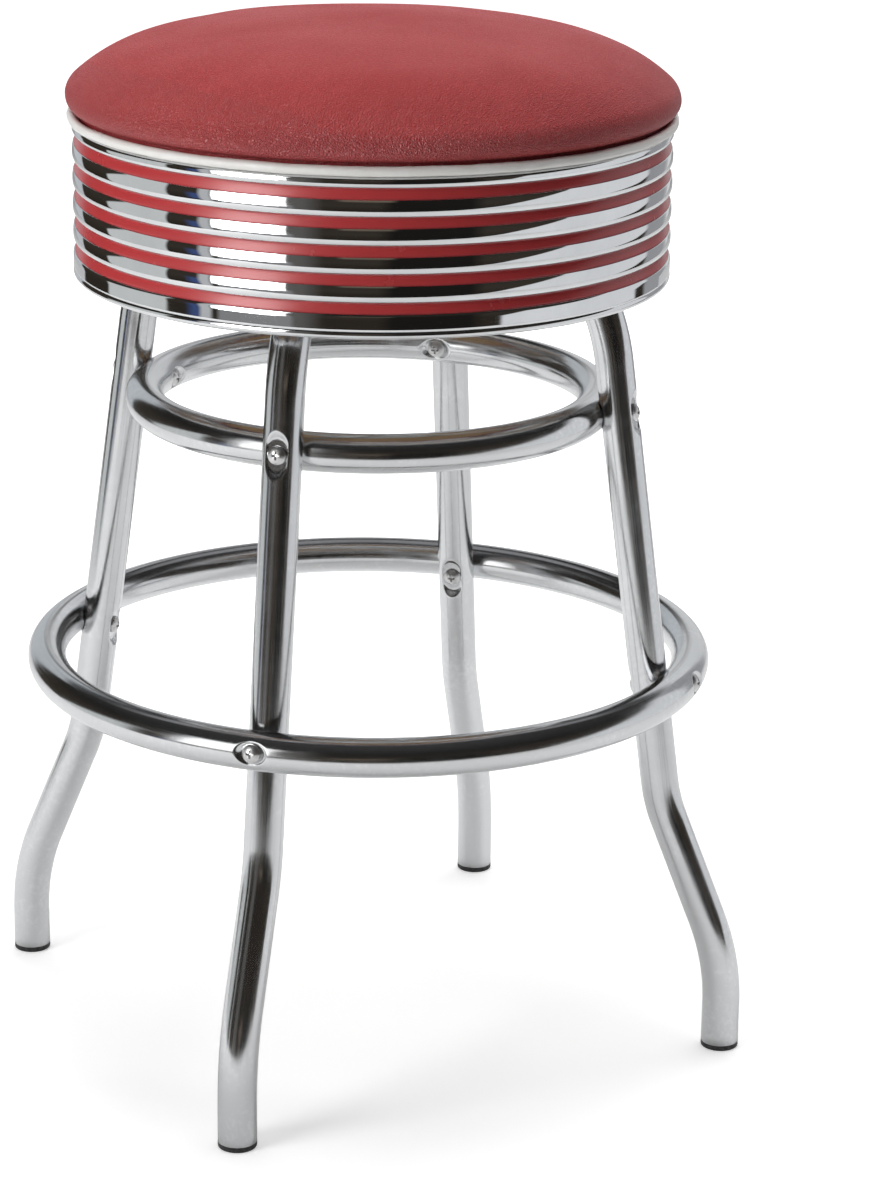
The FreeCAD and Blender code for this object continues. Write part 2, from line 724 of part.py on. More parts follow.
class BandSection:
    """Radii of the ribs, of the stripes and of the grooves that hold them."""

    rib = skirt_radius + BAND_STANDOFF
    rib_foot = rib - RIB_DRAW_IN
    rib_head = rib - RIB_HEAD_DRAW_IN
    stripe_head = rib_foot - STRIPE_SET_BACK
    stripe_foot = rib_head - STRIPE_SET_BACK - 4 * TOUCH
    groove_head = stripe_head - STRIPE_THICKNESS - TOUCH
    groove_foot = stripe_foot - STRIPE_THICKNESS - TOUCH
    rim = stripe_top(STRIPE_COUNT - 1) - STRIPE_HEIGHT - BAND_FOOT
    curl_centre = point(rib - CURL_RADIUS + CURL_STEP_OUT, rim + CURL_RADIUS)


def band_outside():
    """The outer line of the band, from its flange down to the curled rim."""
    s = BandSection
    bend_centre = point(s.rib - TOP_RIB_BEND, flange_top - TOP_RIB_BEND)
    curve_top = stripe_top(0) + TOP_RIB_CURVE
    curve_middle = point(s.rib - RIB_DRAW_IN * RIB_CREST_SHARE, stripe_top(0) + TOP_RIB_CURVE / 2)
    edges = [line(point(flange_inner, flange_top), polar(bend_centre, TOP_RIB_BEND, 90)),
             arc(polar(bend_centre, TOP_RIB_BEND, 90), polar(bend_centre, TOP_RIB_BEND, 45),
                 polar(bend_centre, TOP_RIB_BEND, 0)),
             line(polar(bend_centre, TOP_RIB_BEND, 0), point(s.rib, curve_top)),
             arc(point(s.rib, curve_top), curve_middle, point(s.rib_foot, stripe_top(0)))]
    for index in range(STRIPE_COUNT):
        top = stripe_top(index)
        bottom = top - STRIPE_HEIGHT
        edges += lines_through([point(s.rib_foot, top), point(s.groove_head, top),
                                point(s.groove_foot, bottom), point(s.rib_head, bottom)])
        if index < STRIPE_COUNT - 1:
            rib_height = STRIPE_PITCH - STRIPE_HEIGHT
            crest = point(s.rib, bottom - RIB_CREST_SHARE * rib_height)
            edges.append(arc(point(s.rib_head, bottom), crest,
                             point(s.rib_foot, bottom - rib_height)))
    last = stripe_top(STRIPE_COUNT - 1) - STRIPE_HEIGHT
    crease = s.rim + 2 * CURL_RADIUS
    edges += lines_through([point(s.rib_head, last), point(s.rib, last - BAND_WALL),
                            point(s.rib, crease), polar(s.curl_centre, CURL_RADIUS, CURL_START)])
    return edges


def band_inside():
    """The inner line of the band, from the curled rim back up to the flange."""
    s = BandSection
    wall = s.rib - BAND_WALL
    points = [polar(s.curl_centre, CURL_RADIUS - BAND_WALL, CURL_START),
              point(wall, s.rim + 2 * CURL_RADIUS + BAND_WALL / 2)]
    rib_height = STRIPE_PITCH - STRIPE_HEIGHT
    for index in reversed(range(STRIPE_COUNT)):
        top = stripe_top(index)
        bottom = top - STRIPE_HEIGHT
        points += [point(wall, bottom - RIB_CREST_SHARE * rib_height),
                   point(s.groove_foot - BAND_WALL, bottom - BAND_CORNER_LOW),
                   point(s.groove_head - BAND_WALL, top + BAND_CORNER_HIGH)]
    inner_bend = TOP_RIB_BEND - BAND_WALL
    bend_centre = point(s.rib - TOP_RIB_BEND, flange_top - TOP_RIB_BEND)
    points += [point(wall, stripe_top(0) + TOP_RIB_CURVE),
               polar(bend_centre, inner_bend, 0),
               polar(bend_centre, inner_bend, 45),
               polar(bend_centre, inner_bend, 90),
               point(flange_inner, flange_top - BAND_WALL),
               point(flange_inner, flange_top)]
    return lines_through(points)


def make_band():
    """One pressed sheet: flange, ribs, stripe grooves, wall and curled rim."""
    s = BandSection
    inner_curl = CURL_RADIUS - BAND_WALL
    middle = (CURL_START + CURL_END) / 2
    curl_out = arc(polar(s.curl_centre, CURL_RADIUS, CURL_START),
                   polar(s.curl_centre, CURL_RADIUS, middle),
                   polar(s.curl_centre, CURL_RADIUS, CURL_END))
    curl_tip = line(polar(s.curl_centre, CURL_RADIUS, CURL_END),
                    polar(s.curl_centre, inner_curl, CURL_END))
    curl_in = arc(polar(s.curl_centre, inner_curl, CURL_END),
                  polar(s.curl_centre, inner_curl, middle),
                  polar(s.curl_centre, inner_curl, CURL_START))
    band = turned(band_outside() + [curl_out, curl_tip, curl_in] + band_inside())
    hole = moved(rod(BAND_SCREW_RADIUS + HOLE_CLEARANCE, flange_top - BAND_WALL - OVERRUN,
                     flange_top + OVERRUN), band_screw_radius(), 0, 0)
    save("side_band", cut_all(band, around(hole, BAND_SCREW_COUNT, 180.0 / BAND_SCREW_COUNT)))

    for index in range(STRIPE_COUNT):
        top = stripe_top(index) - TOUCH
        bottom = stripe_top(index) - STRIPE_HEIGHT + TOUCH
        corners = [point(s.stripe_head, top), point(s.stripe_head - STRIPE_THICKNESS, top),
                   point(s.stripe_foot - STRIPE_THICKNESS, bottom), point(s.stripe_foot, bottom)]
        save("band_stripe_" + str(index + 1), turned(lines_through(corners + corners[:1])))


os.makedirs("parts", exist_ok=True)
make_base()
make_swivel()
make_seat()
make_band()
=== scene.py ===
"""Diner counter stool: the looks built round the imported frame.

Every length is in metres and every piece stands where the frame has it.
"""
import json
import logging
import math
from dataclasses import dataclass, field
from enum import Enum
from typing import Callable, Iterable, Sequence

import bmesh
import bpy
import numpy as np
from mathutils import Matrix, Vector, noise

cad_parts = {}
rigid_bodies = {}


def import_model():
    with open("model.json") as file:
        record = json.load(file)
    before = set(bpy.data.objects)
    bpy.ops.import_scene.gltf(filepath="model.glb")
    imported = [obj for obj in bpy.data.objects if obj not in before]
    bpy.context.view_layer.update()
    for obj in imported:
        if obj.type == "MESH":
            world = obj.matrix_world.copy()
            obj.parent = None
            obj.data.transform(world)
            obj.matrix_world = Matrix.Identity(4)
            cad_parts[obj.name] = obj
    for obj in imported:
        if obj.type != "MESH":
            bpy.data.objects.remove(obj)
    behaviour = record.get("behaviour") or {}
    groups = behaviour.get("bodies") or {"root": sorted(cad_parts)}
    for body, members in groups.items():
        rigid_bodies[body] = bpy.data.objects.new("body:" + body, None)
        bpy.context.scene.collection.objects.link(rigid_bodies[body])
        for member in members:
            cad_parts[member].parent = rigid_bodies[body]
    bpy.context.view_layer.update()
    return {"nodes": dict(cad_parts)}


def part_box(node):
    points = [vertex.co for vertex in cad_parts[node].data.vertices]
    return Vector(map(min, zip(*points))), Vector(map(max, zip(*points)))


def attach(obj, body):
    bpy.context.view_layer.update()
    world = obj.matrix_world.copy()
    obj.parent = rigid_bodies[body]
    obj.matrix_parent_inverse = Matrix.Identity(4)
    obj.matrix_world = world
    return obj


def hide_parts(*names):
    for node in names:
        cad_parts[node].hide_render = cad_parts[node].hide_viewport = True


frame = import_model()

LOG = logging.getLogger("diner_stool")
MM = 0.001
# Elevation, in degrees, at which a leaning panel stands at its own bearings
PANEL_PIVOT = -12.0

Colour = tuple[float, float, float]
Point2 = tuple[float, float]


class Body(Enum):
    """The two rigid bodies that pieces ride on."""

    BASE = "stool_base"
    SEAT = "stool_seat"


class Slot(Enum):
    """Material slots of the record, passed along with the new pieces."""

    TUBE = "chromed_tube"
    SHEET = "chromed_sheet"
    STRIPE = "red_stripe"
    VINYL = "red_vinyl"
    PIPING = "white_vinyl"


class LegTurn(Enum):
    """Where each leg stands, in degrees round the axis from +X."""

    RIGHT = 0.0
    BACK = 90.0
    LEFT = 180.0
    FRONT = 270.0


# Shader building blocks


class NodeSheet:
    """A thin wrapper that adds and links the nodes of one tree."""

    def __init__(self, tree: bpy.types.NodeTree) -> None:
        """Start on an empty tree.

        Args:
            tree: The node tree to fill.
        """
        self.tree = tree
        tree.nodes.clear()

    def add(self, kind: str, **settings: object) -> bpy.types.Node:
        """Add a node and set its properties.

        Args:
            kind: Blender's type name of the node.
            **settings: Properties by name.

        Returns:
            The new node.
        """
        node = self.tree.nodes.new(kind)
        for name, value in settings.items():
            setattr(node, name, value)
        return node

    def link(self, source: bpy.types.NodeSocket, target: bpy.types.NodeSocket) -> None:
        """Join two sockets."""
        self.tree.links.new(source, target)

    def math(self, operation: str, first: object, second: object = None,
             clamp: bool = False) -> bpy.types.NodeSocket:
        """Add a Math node.

        Args:
            operation: Name of the operation.
            first: A socket or a number.
            second: A socket, a number or nothing.
            clamp: Whether the result is held between 0 and 1.

        Returns:
            The node's output.
        """
        node = self.add("ShaderNodeMath", operation=operation, use_clamp=clamp)
        for slot, value in zip(node.inputs, (first, second)):
            if value is None:
                continue
            if isinstance(value, bpy.types.NodeSocket):
                self.link(value, slot)
            else:
                slot.default_value = float(value)
        return node.outputs[0]

    def ramp(self, value: bpy.types.NodeSocket,
             stops: Sequence[tuple[float, Colour]]) -> bpy.types.NodeSocket:
        """Add a colour ramp.

        Args:
            value: What the ramp reads.
            stops: Places from 0 to 1 with their colours.

        Returns:
            The ramp's colour.
        """
        node = self.add("ShaderNodeValToRGB")
        elements = node.color_ramp.elements
        while len(elements) < len(stops):
            elements.new(0.5)
        for element, (place, colour) in zip(elements, stops):
            element.position = place
            element.color = (*colour, 1.0)
        self.link(value, node.inputs[0])
        return node.outputs[0]

    def span(self, value: bpy.types.NodeSocket, low: float, high: float,
             to_low: float, to_high: float) -> bpy.types.NodeSocket:
        """Map a value from one range to another, clamped.

        Args:
            value: What is mapped.
            low: The value that becomes to_low.
            high: The value that becomes to_high.
            to_low: The first result.
            to_high: The last result.

        Returns:
            The mapped value.
        """
        node = self.add("ShaderNodeMapRange")
        for slot, number in zip(node.inputs[1:5], (low, high, to_low, to_high)):
            slot.default_value = number
        self.link(value, node.inputs[0])
        return node.outputs[0]

    def blend(self, factor: bpy.types.NodeSocket, first: Colour | bpy.types.NodeSocket,
              second: Colour) -> bpy.types.NodeSocket:
        """Mix two colours by a mask.

        Args:
            factor: The mask: 0 shows the first colour, 1 the second.
            first: A colour or a colour socket.
            second: A colour.

        Returns:
            The mixed colour.
        """
        node = self.add("ShaderNodeMix", data_type="RGBA")
        self.link(factor, node.inputs[0])
        if isinstance(first, bpy.types.NodeSocket):
            self.link(first, node.inputs[6])
        else:
            node.inputs[6].default_value = (*first, 1.0)
        node.inputs[7].default_value = (*second, 1.0)
        return node.outputs[2]

    def weighted(self, mask: bpy.types.NodeSocket, weight: float,
                 base: float | bpy.types.NodeSocket) -> bpy.types.NodeSocket:
        """Add so much of a mask to a base value.

        Args:
            mask: The mask.
            weight: What it is multiplied by.
            base: A number or a socket.

        Returns:
            The sum.
        """
        node = self.math("MULTIPLY_ADD", mask, weight).node
        if isinstance(base, bpy.types.NodeSocket):
            self.link(base, node.inputs[2])
        else:
            node.inputs[2].default_value = base
        return node.outputs[0]

    def noise(self, vector: bpy.types.NodeSocket | None = None, **values: float) -> bpy.types.Node:
        """Add a Noise Texture.

        Args:
            vector: Where it is read, or nothing for the object's own coordinates.
            **values: Input values by name.

        Returns:
            The texture node.
        """
        node = self.add("ShaderNodeTexNoise")
        if vector is None:
            vector = self.add("ShaderNodeTexCoord").outputs["Object"]
        self.link(vector, node.inputs["Vector"])
        for title, value in values.items():
            node.inputs[title].default_value = value
        return node


def new_group(name: str, inputs: dict[str, float], outputs: Sequence[str]) -> tuple:
    """Make an empty shader node group with number sockets.

    Args:
        name: The group's name.
        inputs: Input names with their default values.
        outputs: Output names.

    Returns:
        The group, its sheet, its input node and its output node.
    """
    group = bpy.data.node_groups.new(name, "ShaderNodeTree")
    sheet = NodeSheet(group)
    for title, value in inputs.items():
        socket = group.interface.new_socket(title, in_out="INPUT", socket_type="NodeSocketFloat")
        socket.default_value = value
    for title in outputs:
        group.interface.new_socket(title, in_out="OUTPUT", socket_type="NodeSocketFloat")
    return group, sheet, sheet.add("NodeGroupInput"), sheet.add("NodeGroupOutput")


class Effects:
    """Node groups that several finishes share, each built once."""

    _made: dict[str, bpy.types.NodeTree] = {}

    @classmethod
    def get(cls, name: str) -> bpy.types.NodeTree:
        """Return the group of that name, building it the first time.

        Args:
            name: The effect's name.

        Returns:
            The node group.
        """
        if name not in cls._made:
            cls._made[name] = getattr(cls, "_" + name)()
        return cls._made[name]

    @staticmethod
    def _smears() -> bpy.types.NodeTree:
        """Soft cloudy smears and fine dust specks over any surface.

        Returns:
            The group.
        """
        group, sheet, given, out = new_group(
            "smears", {"Scale": 30.0, "Strength": 0.1}, ["Mask", "Specks"])
        cloud = sheet.noise(Detail=5.0, Roughness=0.6)
        sheet.link(given.outputs["Scale"], cloud.inputs["Scale"])
        soft = sheet.span(cloud.outputs["Fac"], 0.35, 0.7, 0.0, 1.0)
        sheet.link(sheet.math("MULTIPLY", soft, given.outputs["Strength"]), out.inputs["Mask"])
        dots = sheet.noise()
        sheet.link(sheet.math("MULTIPLY", given.outputs["Scale"], 40.0), dots.inputs["Scale"])
        specks = sheet.span(dots.outputs["Fac"], 0.68, 0.78, 0.0, 1.0)
        sheet.link(sheet.math("MULTIPLY", specks, given.outputs["Strength"]), out.inputs["Specks"])
        return group

    @staticmethod
    def _drawn_lines() -> bpy.types.NodeTree:
        """Faint lines that run the way the metal was drawn or polished.

        Returns:
            The group.
        """
        group, sheet, given, out = new_group(
            "drawn_lines", {"Across": 900.0, "Along": 6.0}, ["Height", "Mask"])
        parts = sheet.add("ShaderNodeSeparateXYZ")
        sheet.link(sheet.add("ShaderNodeUVMap", uv_map="lay").outputs[0], parts.inputs[0])
        joined = sheet.add("ShaderNodeCombineXYZ")
        for axis, title in enumerate(("Along", "Across")):
            sheet.link(sheet.math("MULTIPLY", parts.outputs[axis], given.outputs[title]),
                       joined.inputs[axis])
        lines = sheet.noise(joined.outputs[0], Scale=1.0, Detail=3.0)
        sheet.link(lines.outputs["Fac"], out.inputs["Height"])
        sheet.link(sheet.span(lines.outputs["Fac"], 0.4, 0.75, 0.0, 1.0), out.inputs["Mask"])
        return group

    @staticmethod
    def _edge_wear() -> bpy.types.NodeTree:
        """A mask on sharp outward edges, broken up by noise.

        Returns:
            The group.
        """
        group, sheet, given, out = new_group("edge_wear", {"Start": 0.52, "Scale": 200.0}, ["Mask"])
        shape = sheet.add("ShaderNodeNewGeometry")
        edge = sheet.add("ShaderNodeMapRange")
        sheet.link(shape.outputs["Pointiness"], edge.inputs[0])
        sheet.link(given.outputs["Start"], edge.inputs[1])
        sheet.link(sheet.math("ADD", given.outputs["Start"], 0.06), edge.inputs[2])
        chips = sheet.noise()
        sheet.link(given.outputs["Scale"], chips.inputs["Scale"])
        broken = sheet.span(chips.outputs["Fac"], 0.4, 0.65, 0.0, 1.0)
        sheet.link(sheet.math("MULTIPLY", edge.outputs[0], broken, clamp=True), out.inputs["Mask"])
        return group

    @staticmethod
    def _panel_mask() -> bpy.types.NodeTree:
        """Inside of a leaning four-sided patch given in bearing and elevation.

        Returns:
            The group.
        """
        names = ("Bearing", "Elevation", "Left", "Right", "Low", "High", "Lean", "Climb", "Blur")
        group, sheet, given, out = new_group("panel_mask", {n: 0.0 for n in names}, ["Mask"])
        sockets = [given.outputs[n] for n in names]
        bearing, elevation, left, right, low, high, lean, climb, blur = sockets

        def beyond(value: bpy.types.NodeSocket, edge: bpy.types.NodeSocket) -> bpy.types.NodeSocket:
            """Rise from 0 to 1 across an edge, over twice the blur."""
            share = sheet.math("DIVIDE", sheet.math("SUBTRACT", value, edge), blur)
            return sheet.span(share, -1.0, 1.0, 0.0, 1.0)

        shift = sheet.math("MULTIPLY", sheet.math("ADD", elevation, -PANEL_PIVOT), lean)
        along = sheet.math("SUBTRACT", bearing, shift)
        rise = sheet.math("MULTIPLY", sheet.math("SUBTRACT", bearing, left), climb)
        level = sheet.math("SUBTRACT", elevation, rise)
        inside = sheet.math("SUBTRACT", beyond(along, left), beyond(along, right), clamp=True)
        upright = sheet.math("SUBTRACT", beyond(elevation, low), beyond(level, high), clamp=True)
        sheet.link(sheet.math("MULTIPLY", inside, upright), out.inputs["Mask"])
        return group

    @staticmethod
    def _leather_grain() -> bpy.types.NodeTree:
        """Fine pebbled grain of embossed vinyl, with a few longer creases.

        Returns:
            The group.
        """
        group, sheet, given, out = new_group(
            "leather_grain", {"Pebble": 850.0, "Crease": 0.35}, ["Height", "Valleys"])
        place = sheet.add("ShaderNodeTexCoord")
        warp = sheet.noise(place.outputs["Object"], Scale=260.0)
        shift = sheet.add("ShaderNodeVectorMath", operation="MULTIPLY_ADD")
        sheet.link(warp.outputs["Color"], shift.inputs[0])
        shift.inputs[1].default_value = (0.0012, 0.0012, 0.0012)
        sheet.link(place.outputs["Object"], shift.inputs[2])
        cells = sheet.add("ShaderNodeTexVoronoi", feature="DISTANCE_TO_EDGE")
        sheet.link(shift.outputs[0], cells.inputs["Vector"])
        sheet.link(given.outputs["Pebble"], cells.inputs["Scale"])
        pebble = sheet.span(cells.outputs["Distance"], 0.0, 0.32, 0.0, 1.0)
        creases = sheet.add("ShaderNodeTexVoronoi", feature="DISTANCE_TO_EDGE")
        creases.inputs["Scale"].default_value = 210.0
        sheet.link(shift.outputs[0], creases.inputs["Vector"])
        furrow = sheet.span(creases.outputs["Distance"], 0.0, 0.07, 0.0, 1.0)
        deep = sheet.math("MULTIPLY", furrow, given.outputs["Crease"])
        height = sheet.math("ADD", pebble, deep)
        sheet.link(height, out.inputs["Height"])
        # Valleys marks the grain's low parts; the red vinyl uses it as the mask of its painted shade
        sheet.link(sheet.math("SUBTRACT", 1.0, pebble, clamp=True), out.inputs["Valleys"])
        return group


class Finish:
    """Base of all finishes: one material, made when first asked for."""

    title = "finish"
    _materials: dict[str, bpy.types.Material] = {}

    def material(self) -> bpy.types.Material:
        """Return the finish's material, building it the first time.

        Returns:
            The one material of this finish.
        """
        if self.title not in Finish._materials:
            made = bpy.data.materials.new(self.title)
            made.use_nodes = True
            sheet = NodeSheet(made.node_tree)
            shader = sheet.add("ShaderNodeBsdfPrincipled")
            output = sheet.add("ShaderNodeOutputMaterial")
            sheet.link(shader.outputs[0], output.inputs[0])
            self.paint(sheet, shader)
            Finish._materials[self.title] = made
        return Finish._materials[self.title]

    def paint(self, sheet: NodeSheet, shader: bpy.types.Node) -> None:
        """Set up the shader. Each finish writes its own.

        Args:
            sheet: The material's nodes.
            shader: Its Principled shader.
        """
        raise NotImplementedError

    @staticmethod
    def effect(sheet: NodeSheet, name: str, **values: float) -> bpy.types.Node:
        """Place a shared effect in a material with its own values.

        Args:
            sheet: The nodes that it joins.
            name: The effect's name.
            **values: Its input values by name.

        Returns:
            The group node.
        """
        node = sheet.add("ShaderNodeGroup", node_tree=Effects.get(name))
        for title, value in values.items():
            node.inputs[title].default_value = value
        return node

    @staticmethod
    def dress(sheet: NodeSheet, shader: bpy.types.Node, base: bpy.types.NodeSocket,
              rough: bpy.types.NodeSocket) -> None:
        """Feed a shader's base colour and roughness.

        Args:
            sheet: The material's nodes.
            shader: Its Principled shader.
            base: The colour.
            rough: The roughness.
        """
        sheet.link(base, shader.inputs["Base Color"])
        sheet.link(rough, shader.inputs["Roughness"])

    @staticmethod
    def bump(sheet: NodeSheet, shader: bpy.types.Node, height: bpy.types.NodeSocket,
             distance: float, strength: float = 1.0) -> None:
        """Feed a height to a shader's normal.

        Args:
            sheet: The material's nodes.
            shader: Its Principled shader.
            height: The relief, from 0 to 1.
            distance: How deep the relief is, in metres.
            strength: How strongly it shows.
        """
        node = sheet.add("ShaderNodeBump")
        node.inputs["Strength"].default_value = strength
        node.inputs["Distance"].default_value = distance
        sheet.link(height, node.inputs["Height"])
        sheet.link(node.outputs[0], shader.inputs["Normal"])


@dataclass(frozen=True)
class Chrome(Finish):
    """Bright chrome with faint drawn lines and hand smears."""

    title: str = "chromed_tube"
    bright: Colour = (0.80, 0.81, 0.82)
    hazy: Colour = (0.72, 0.73, 0.74)
    gloss: float = 0.11
    haze: float = 0.08
    lines: float = 0.10
    ripple: float = 0.000008
    mottle: float = 1.6

    def paint(self, sheet: NodeSheet, shader: bpy.types.Node) -> None:
        """Mirror metal whose roughness follows its lines and smears.

        Args:
            sheet: The material's nodes.
            shader: Its Principled shader.
        """
        shader.inputs["Metallic"].default_value = 1.0
        smears = self.effect(sheet, "smears", Scale=22.0, Strength=1.0)
        grit = self.effect(sheet, "smears", Scale=330.0, Strength=1.0)
        lines = self.effect(sheet, "drawn_lines", Across=1600.0, Along=9.0)
        cloud = sheet.weighted(grit.outputs["Mask"], self.mottle, smears.outputs["Mask"])
        rough = sheet.weighted(lines.outputs["Mask"], self.lines, self.gloss)
        self.dress(sheet, shader, sheet.blend(cloud, self.bright, self.hazy),
                   sheet.weighted(smears.outputs["Mask"], self.haze, rough))
        self.bump(sheet, shader, lines.outputs["Height"], self.ripple)


@dataclass(frozen=True)
class RedVinyl(Finish):
    """Upholstery vinyl with a fine pressed grain."""

    title: str = "red_vinyl"
    # light is the red of the raised grain; deep is the darker red of painted shade in the grain's valleys
    # and of cloudy smears
    light: Colour = (0.46, 0.049, 0.051)
    deep: Colour = (0.35, 0.031, 0.033)
    gloss: float = 0.38

    def paint(self, sheet: NodeSheet, shader: bpy.types.Node) -> None:
        """Red skin, darker and duller in the valleys of its grain as painted shade, and darker in cloudy
        smears.

        Args:
            sheet: The material's nodes.
            shader: Its Principled shader.
        """
        grain = self.effect(sheet, "leather_grain", Pebble=640.0, Crease=0.4)
        smears = self.effect(sheet, "smears", Scale=14.0, Strength=0.5)
        # Painted shade in the grain's valleys, added to cloudy smears: it darkens the red and dulls its
        # gloss
        shade = sheet.weighted(grain.outputs["Valleys"], 0.55, smears.outputs["Mask"])
        self.dress(sheet, shader, sheet.blend(shade, self.light, self.deep),
                   sheet.weighted(shade, 0.18, self.gloss))
        shader.inputs["Specular IOR Level"].default_value = 0.62
        self.bump(sheet, shader, grain.outputs["Height"], 0.0005, 0.9)


@dataclass(frozen=True)
class PipingVinyl(Finish):
    """Smooth off-white vinyl with a little dirt in it."""

    title: str = "white_vinyl"
    clean: Colour = (0.95, 0.945, 0.92)
    soiled: Colour = (0.84, 0.83, 0.78)

    def paint(self, sheet: NodeSheet, shader: bpy.types.Node) -> None:
        """Pale skin with cloudy soiling and a very fine grain.

        Args:
            sheet: The material's nodes.
            shader: Its Principled shader.
        """
        smears = self.effect(sheet, "smears", Scale=60.0, Strength=0.7)
        grain = self.effect(sheet, "leather_grain", Pebble=1800.0, Crease=0.1)
        self.dress(sheet, shader, sheet.blend(smears.outputs["Mask"], self.clean, self.soiled),
                   sheet.span(smears.outputs["Mask"], 0.0, 0.7, 0.34, 0.5))
        self.bump(sheet, shader, grain.outputs["Height"], 0.00004)


@dataclass(frozen=True)
class StripeRed(Finish):
    """Glossy red strip set in the band's grooves."""

    title: str = "red_stripe"
    fresh: Colour = (0.52, 0.050, 0.054)
    faded: Colour = (0.55, 0.058, 0.062)

    def paint(self, sheet: NodeSheet, shader: bpy.types.Node) -> None:
        """Red plastic, faintly clouded and with a very fine drawn texture.

        Args:
            sheet: The material's nodes.
            shader: Its Principled shader.
        """
        smears = self.effect(sheet, "smears", Scale=30.0, Strength=0.3)
        lines = self.effect(sheet, "drawn_lines", Across=2500.0, Along=30.0)
        self.dress(sheet, shader, sheet.blend(smears.outputs["Mask"], self.fresh, self.faded),
                   sheet.span(smears.outputs["Mask"], 0.0, 0.3, 0.24, 0.28))
        self.bump(sheet, shader, lines.outputs["Height"], 0.00001)


@dataclass(frozen=True)
class MouldedBlack(Finish):
    """Black moulded plastic, scuffed at its edges."""

    title: str = "black_plastic"
    plain: Colour = (0.012, 0.012, 0.013)
    scuffed: Colour = (0.07, 0.07, 0.07)

    def paint(self, sheet: NodeSheet, shader: bpy.types.Node) -> None:
        """Dark plastic with pale scuffs.

        Args:
            sheet: The material's nodes.
            shader: Its Principled shader.
        """
        wear = self.effect(sheet, "edge_wear", Start=0.51, Scale=400.0)
        smears = self.effect(sheet, "smears", Scale=120.0, Strength=0.4)
        mask = sheet.math("ADD", wear.outputs["Mask"], smears.outputs["Mask"], clamp=True)
        self.dress(sheet, shader, sheet.blend(mask, self.plain, self.scuffed),
                   sheet.span(smears.outputs["Mask"], 0.0, 0.4, 0.38, 0.6))
        self.bump(sheet, shader, smears.outputs["Specks"], 0.00008)


@dataclass(frozen=True)
class PlatedSteel(Finish):
    """Dull or bright plated steel of screws, plates and balls."""

    title: str = "plated_steel"
    clean: Colour = (0.56, 0.56, 0.54)
    dull: Colour = (0.36, 0.35, 0.32)
    gloss: float = 0.28

    def paint(self, sheet: NodeSheet, shader: bpy.types.Node) -> None:
        """Metal with clouded plating and worn edges.

        Args:
            sheet: The material's nodes.
            shader: Its Principled shader.
        """
        shader.inputs["Metallic"].default_value = 1.0
        smears = self.effect(sheet, "smears", Scale=160.0, Strength=0.9)
        wear = self.effect(sheet, "edge_wear", Start=0.53, Scale=500.0)
        mask = sheet.math("SUBTRACT", smears.outputs["Mask"], wear.outputs["Mask"], clamp=True)
        self.dress(sheet, shader, sheet.blend(mask, self.clean, self.dull),
                   sheet.span(smears.outputs["Mask"], 0.0, 0.9, self.gloss, self.gloss + 0.18))
        self.bump(sheet, shader, smears.outputs["Specks"], 0.00003)


@dataclass(frozen=True)
class Plywood(Finish):
    """Bare plywood with a long grain."""

    title: str = "plywood"
    pale: Colour = (0.55, 0.38, 0.21)
    dark: Colour = (0.33, 0.19, 0.09)

    def paint(self, sheet: NodeSheet, shader: bpy.types.Node) -> None:
        """Long grain with soft dark and pale streaks.

        Args:
            sheet: The material's nodes.
            shader: Its Principled shader.
        """
        place = sheet.add("ShaderNodeTexCoord")
        stretch = sheet.add("ShaderNodeMapping")
        stretch.inputs["Scale"].default_value = (12.0, 160.0, 700.0)
        sheet.link(place.outputs["Object"], stretch.inputs["Vector"])
        grain = sheet.noise(stretch.outputs[0], Scale=1.0, Detail=6.0, Distortion=0.6)
        wood = sheet.ramp(grain.outputs["Fac"], [(0.3, self.dark), (0.62, self.pale)])
        self.dress(sheet, shader, wood, sheet.span(grain.outputs["Fac"], 0.3, 0.7, 0.75, 0.55))
        self.bump(sheet, shader, grain.outputs["Fac"], 0.0003, 0.6)


CHROMED_SHEET = Chrome(title="chromed_sheet", gloss=0.025, haze=0.05, lines=0.02, ripple=0.000001,
                       mottle=0.1)
CHROMED_TUBE = Chrome()
BOLT_STEEL = PlatedSteel(title="bright_steel", clean=(0.78, 0.78, 0.78), dull=(0.62, 0.62, 0.61),
                         gloss=0.26)
FINISHED_NODES: dict[Finish, tuple[str, ...]] = {
    MouldedBlack(): tuple("foot_cap_" + turn.name.lower() for turn in LegTurn),
    BOLT_STEEL: ("ring_bolts", "ring_sleeve_nuts", "leg_bolts", "leg_bolt_nuts", "swivel_balls",
                 "swivel_rivet", "plate_screws", "band_screws"),
    PlatedSteel(): ("leg_saddles", "swivel_lower_plate", "swivel_upper_plate", "swivel_ball_cage",
                    "cover_staples"),
    Plywood(): ("seat_board",),
}


# Mesh building blocks


def new_piece(name: str, corners: np.ndarray, faces: Iterable[Sequence[int]],
              lay: np.ndarray | None = None) -> bpy.types.Object:
    """Make a smooth-shaded mesh object in the frame's own coordinates.

    Args:
        name: The piece's name.
        corners: Vertex positions, one row each.
        faces: Vertex numbers of each face.
        lay: Surface coordinates of each face corner, in face order, if any.

    Returns:
        The new object.
    """
    mesh = bpy.data.meshes.new(name)
    mesh.from_pydata([tuple(c) for c in corners], [], [tuple(f) for f in faces])
    mesh.validate()
    if lay is not None:
        layer = mesh.uv_layers.new(name="lay")
        layer.data.foreach_set("uv", np.asarray(lay, np.float32).ravel())
    mesh.polygons.foreach_set("use_smooth", [True] * len(mesh.polygons))
    mesh.update()
    piece = bpy.data.objects.new(name, mesh)
    bpy.context.scene.collection.objects.link(piece)
    return piece


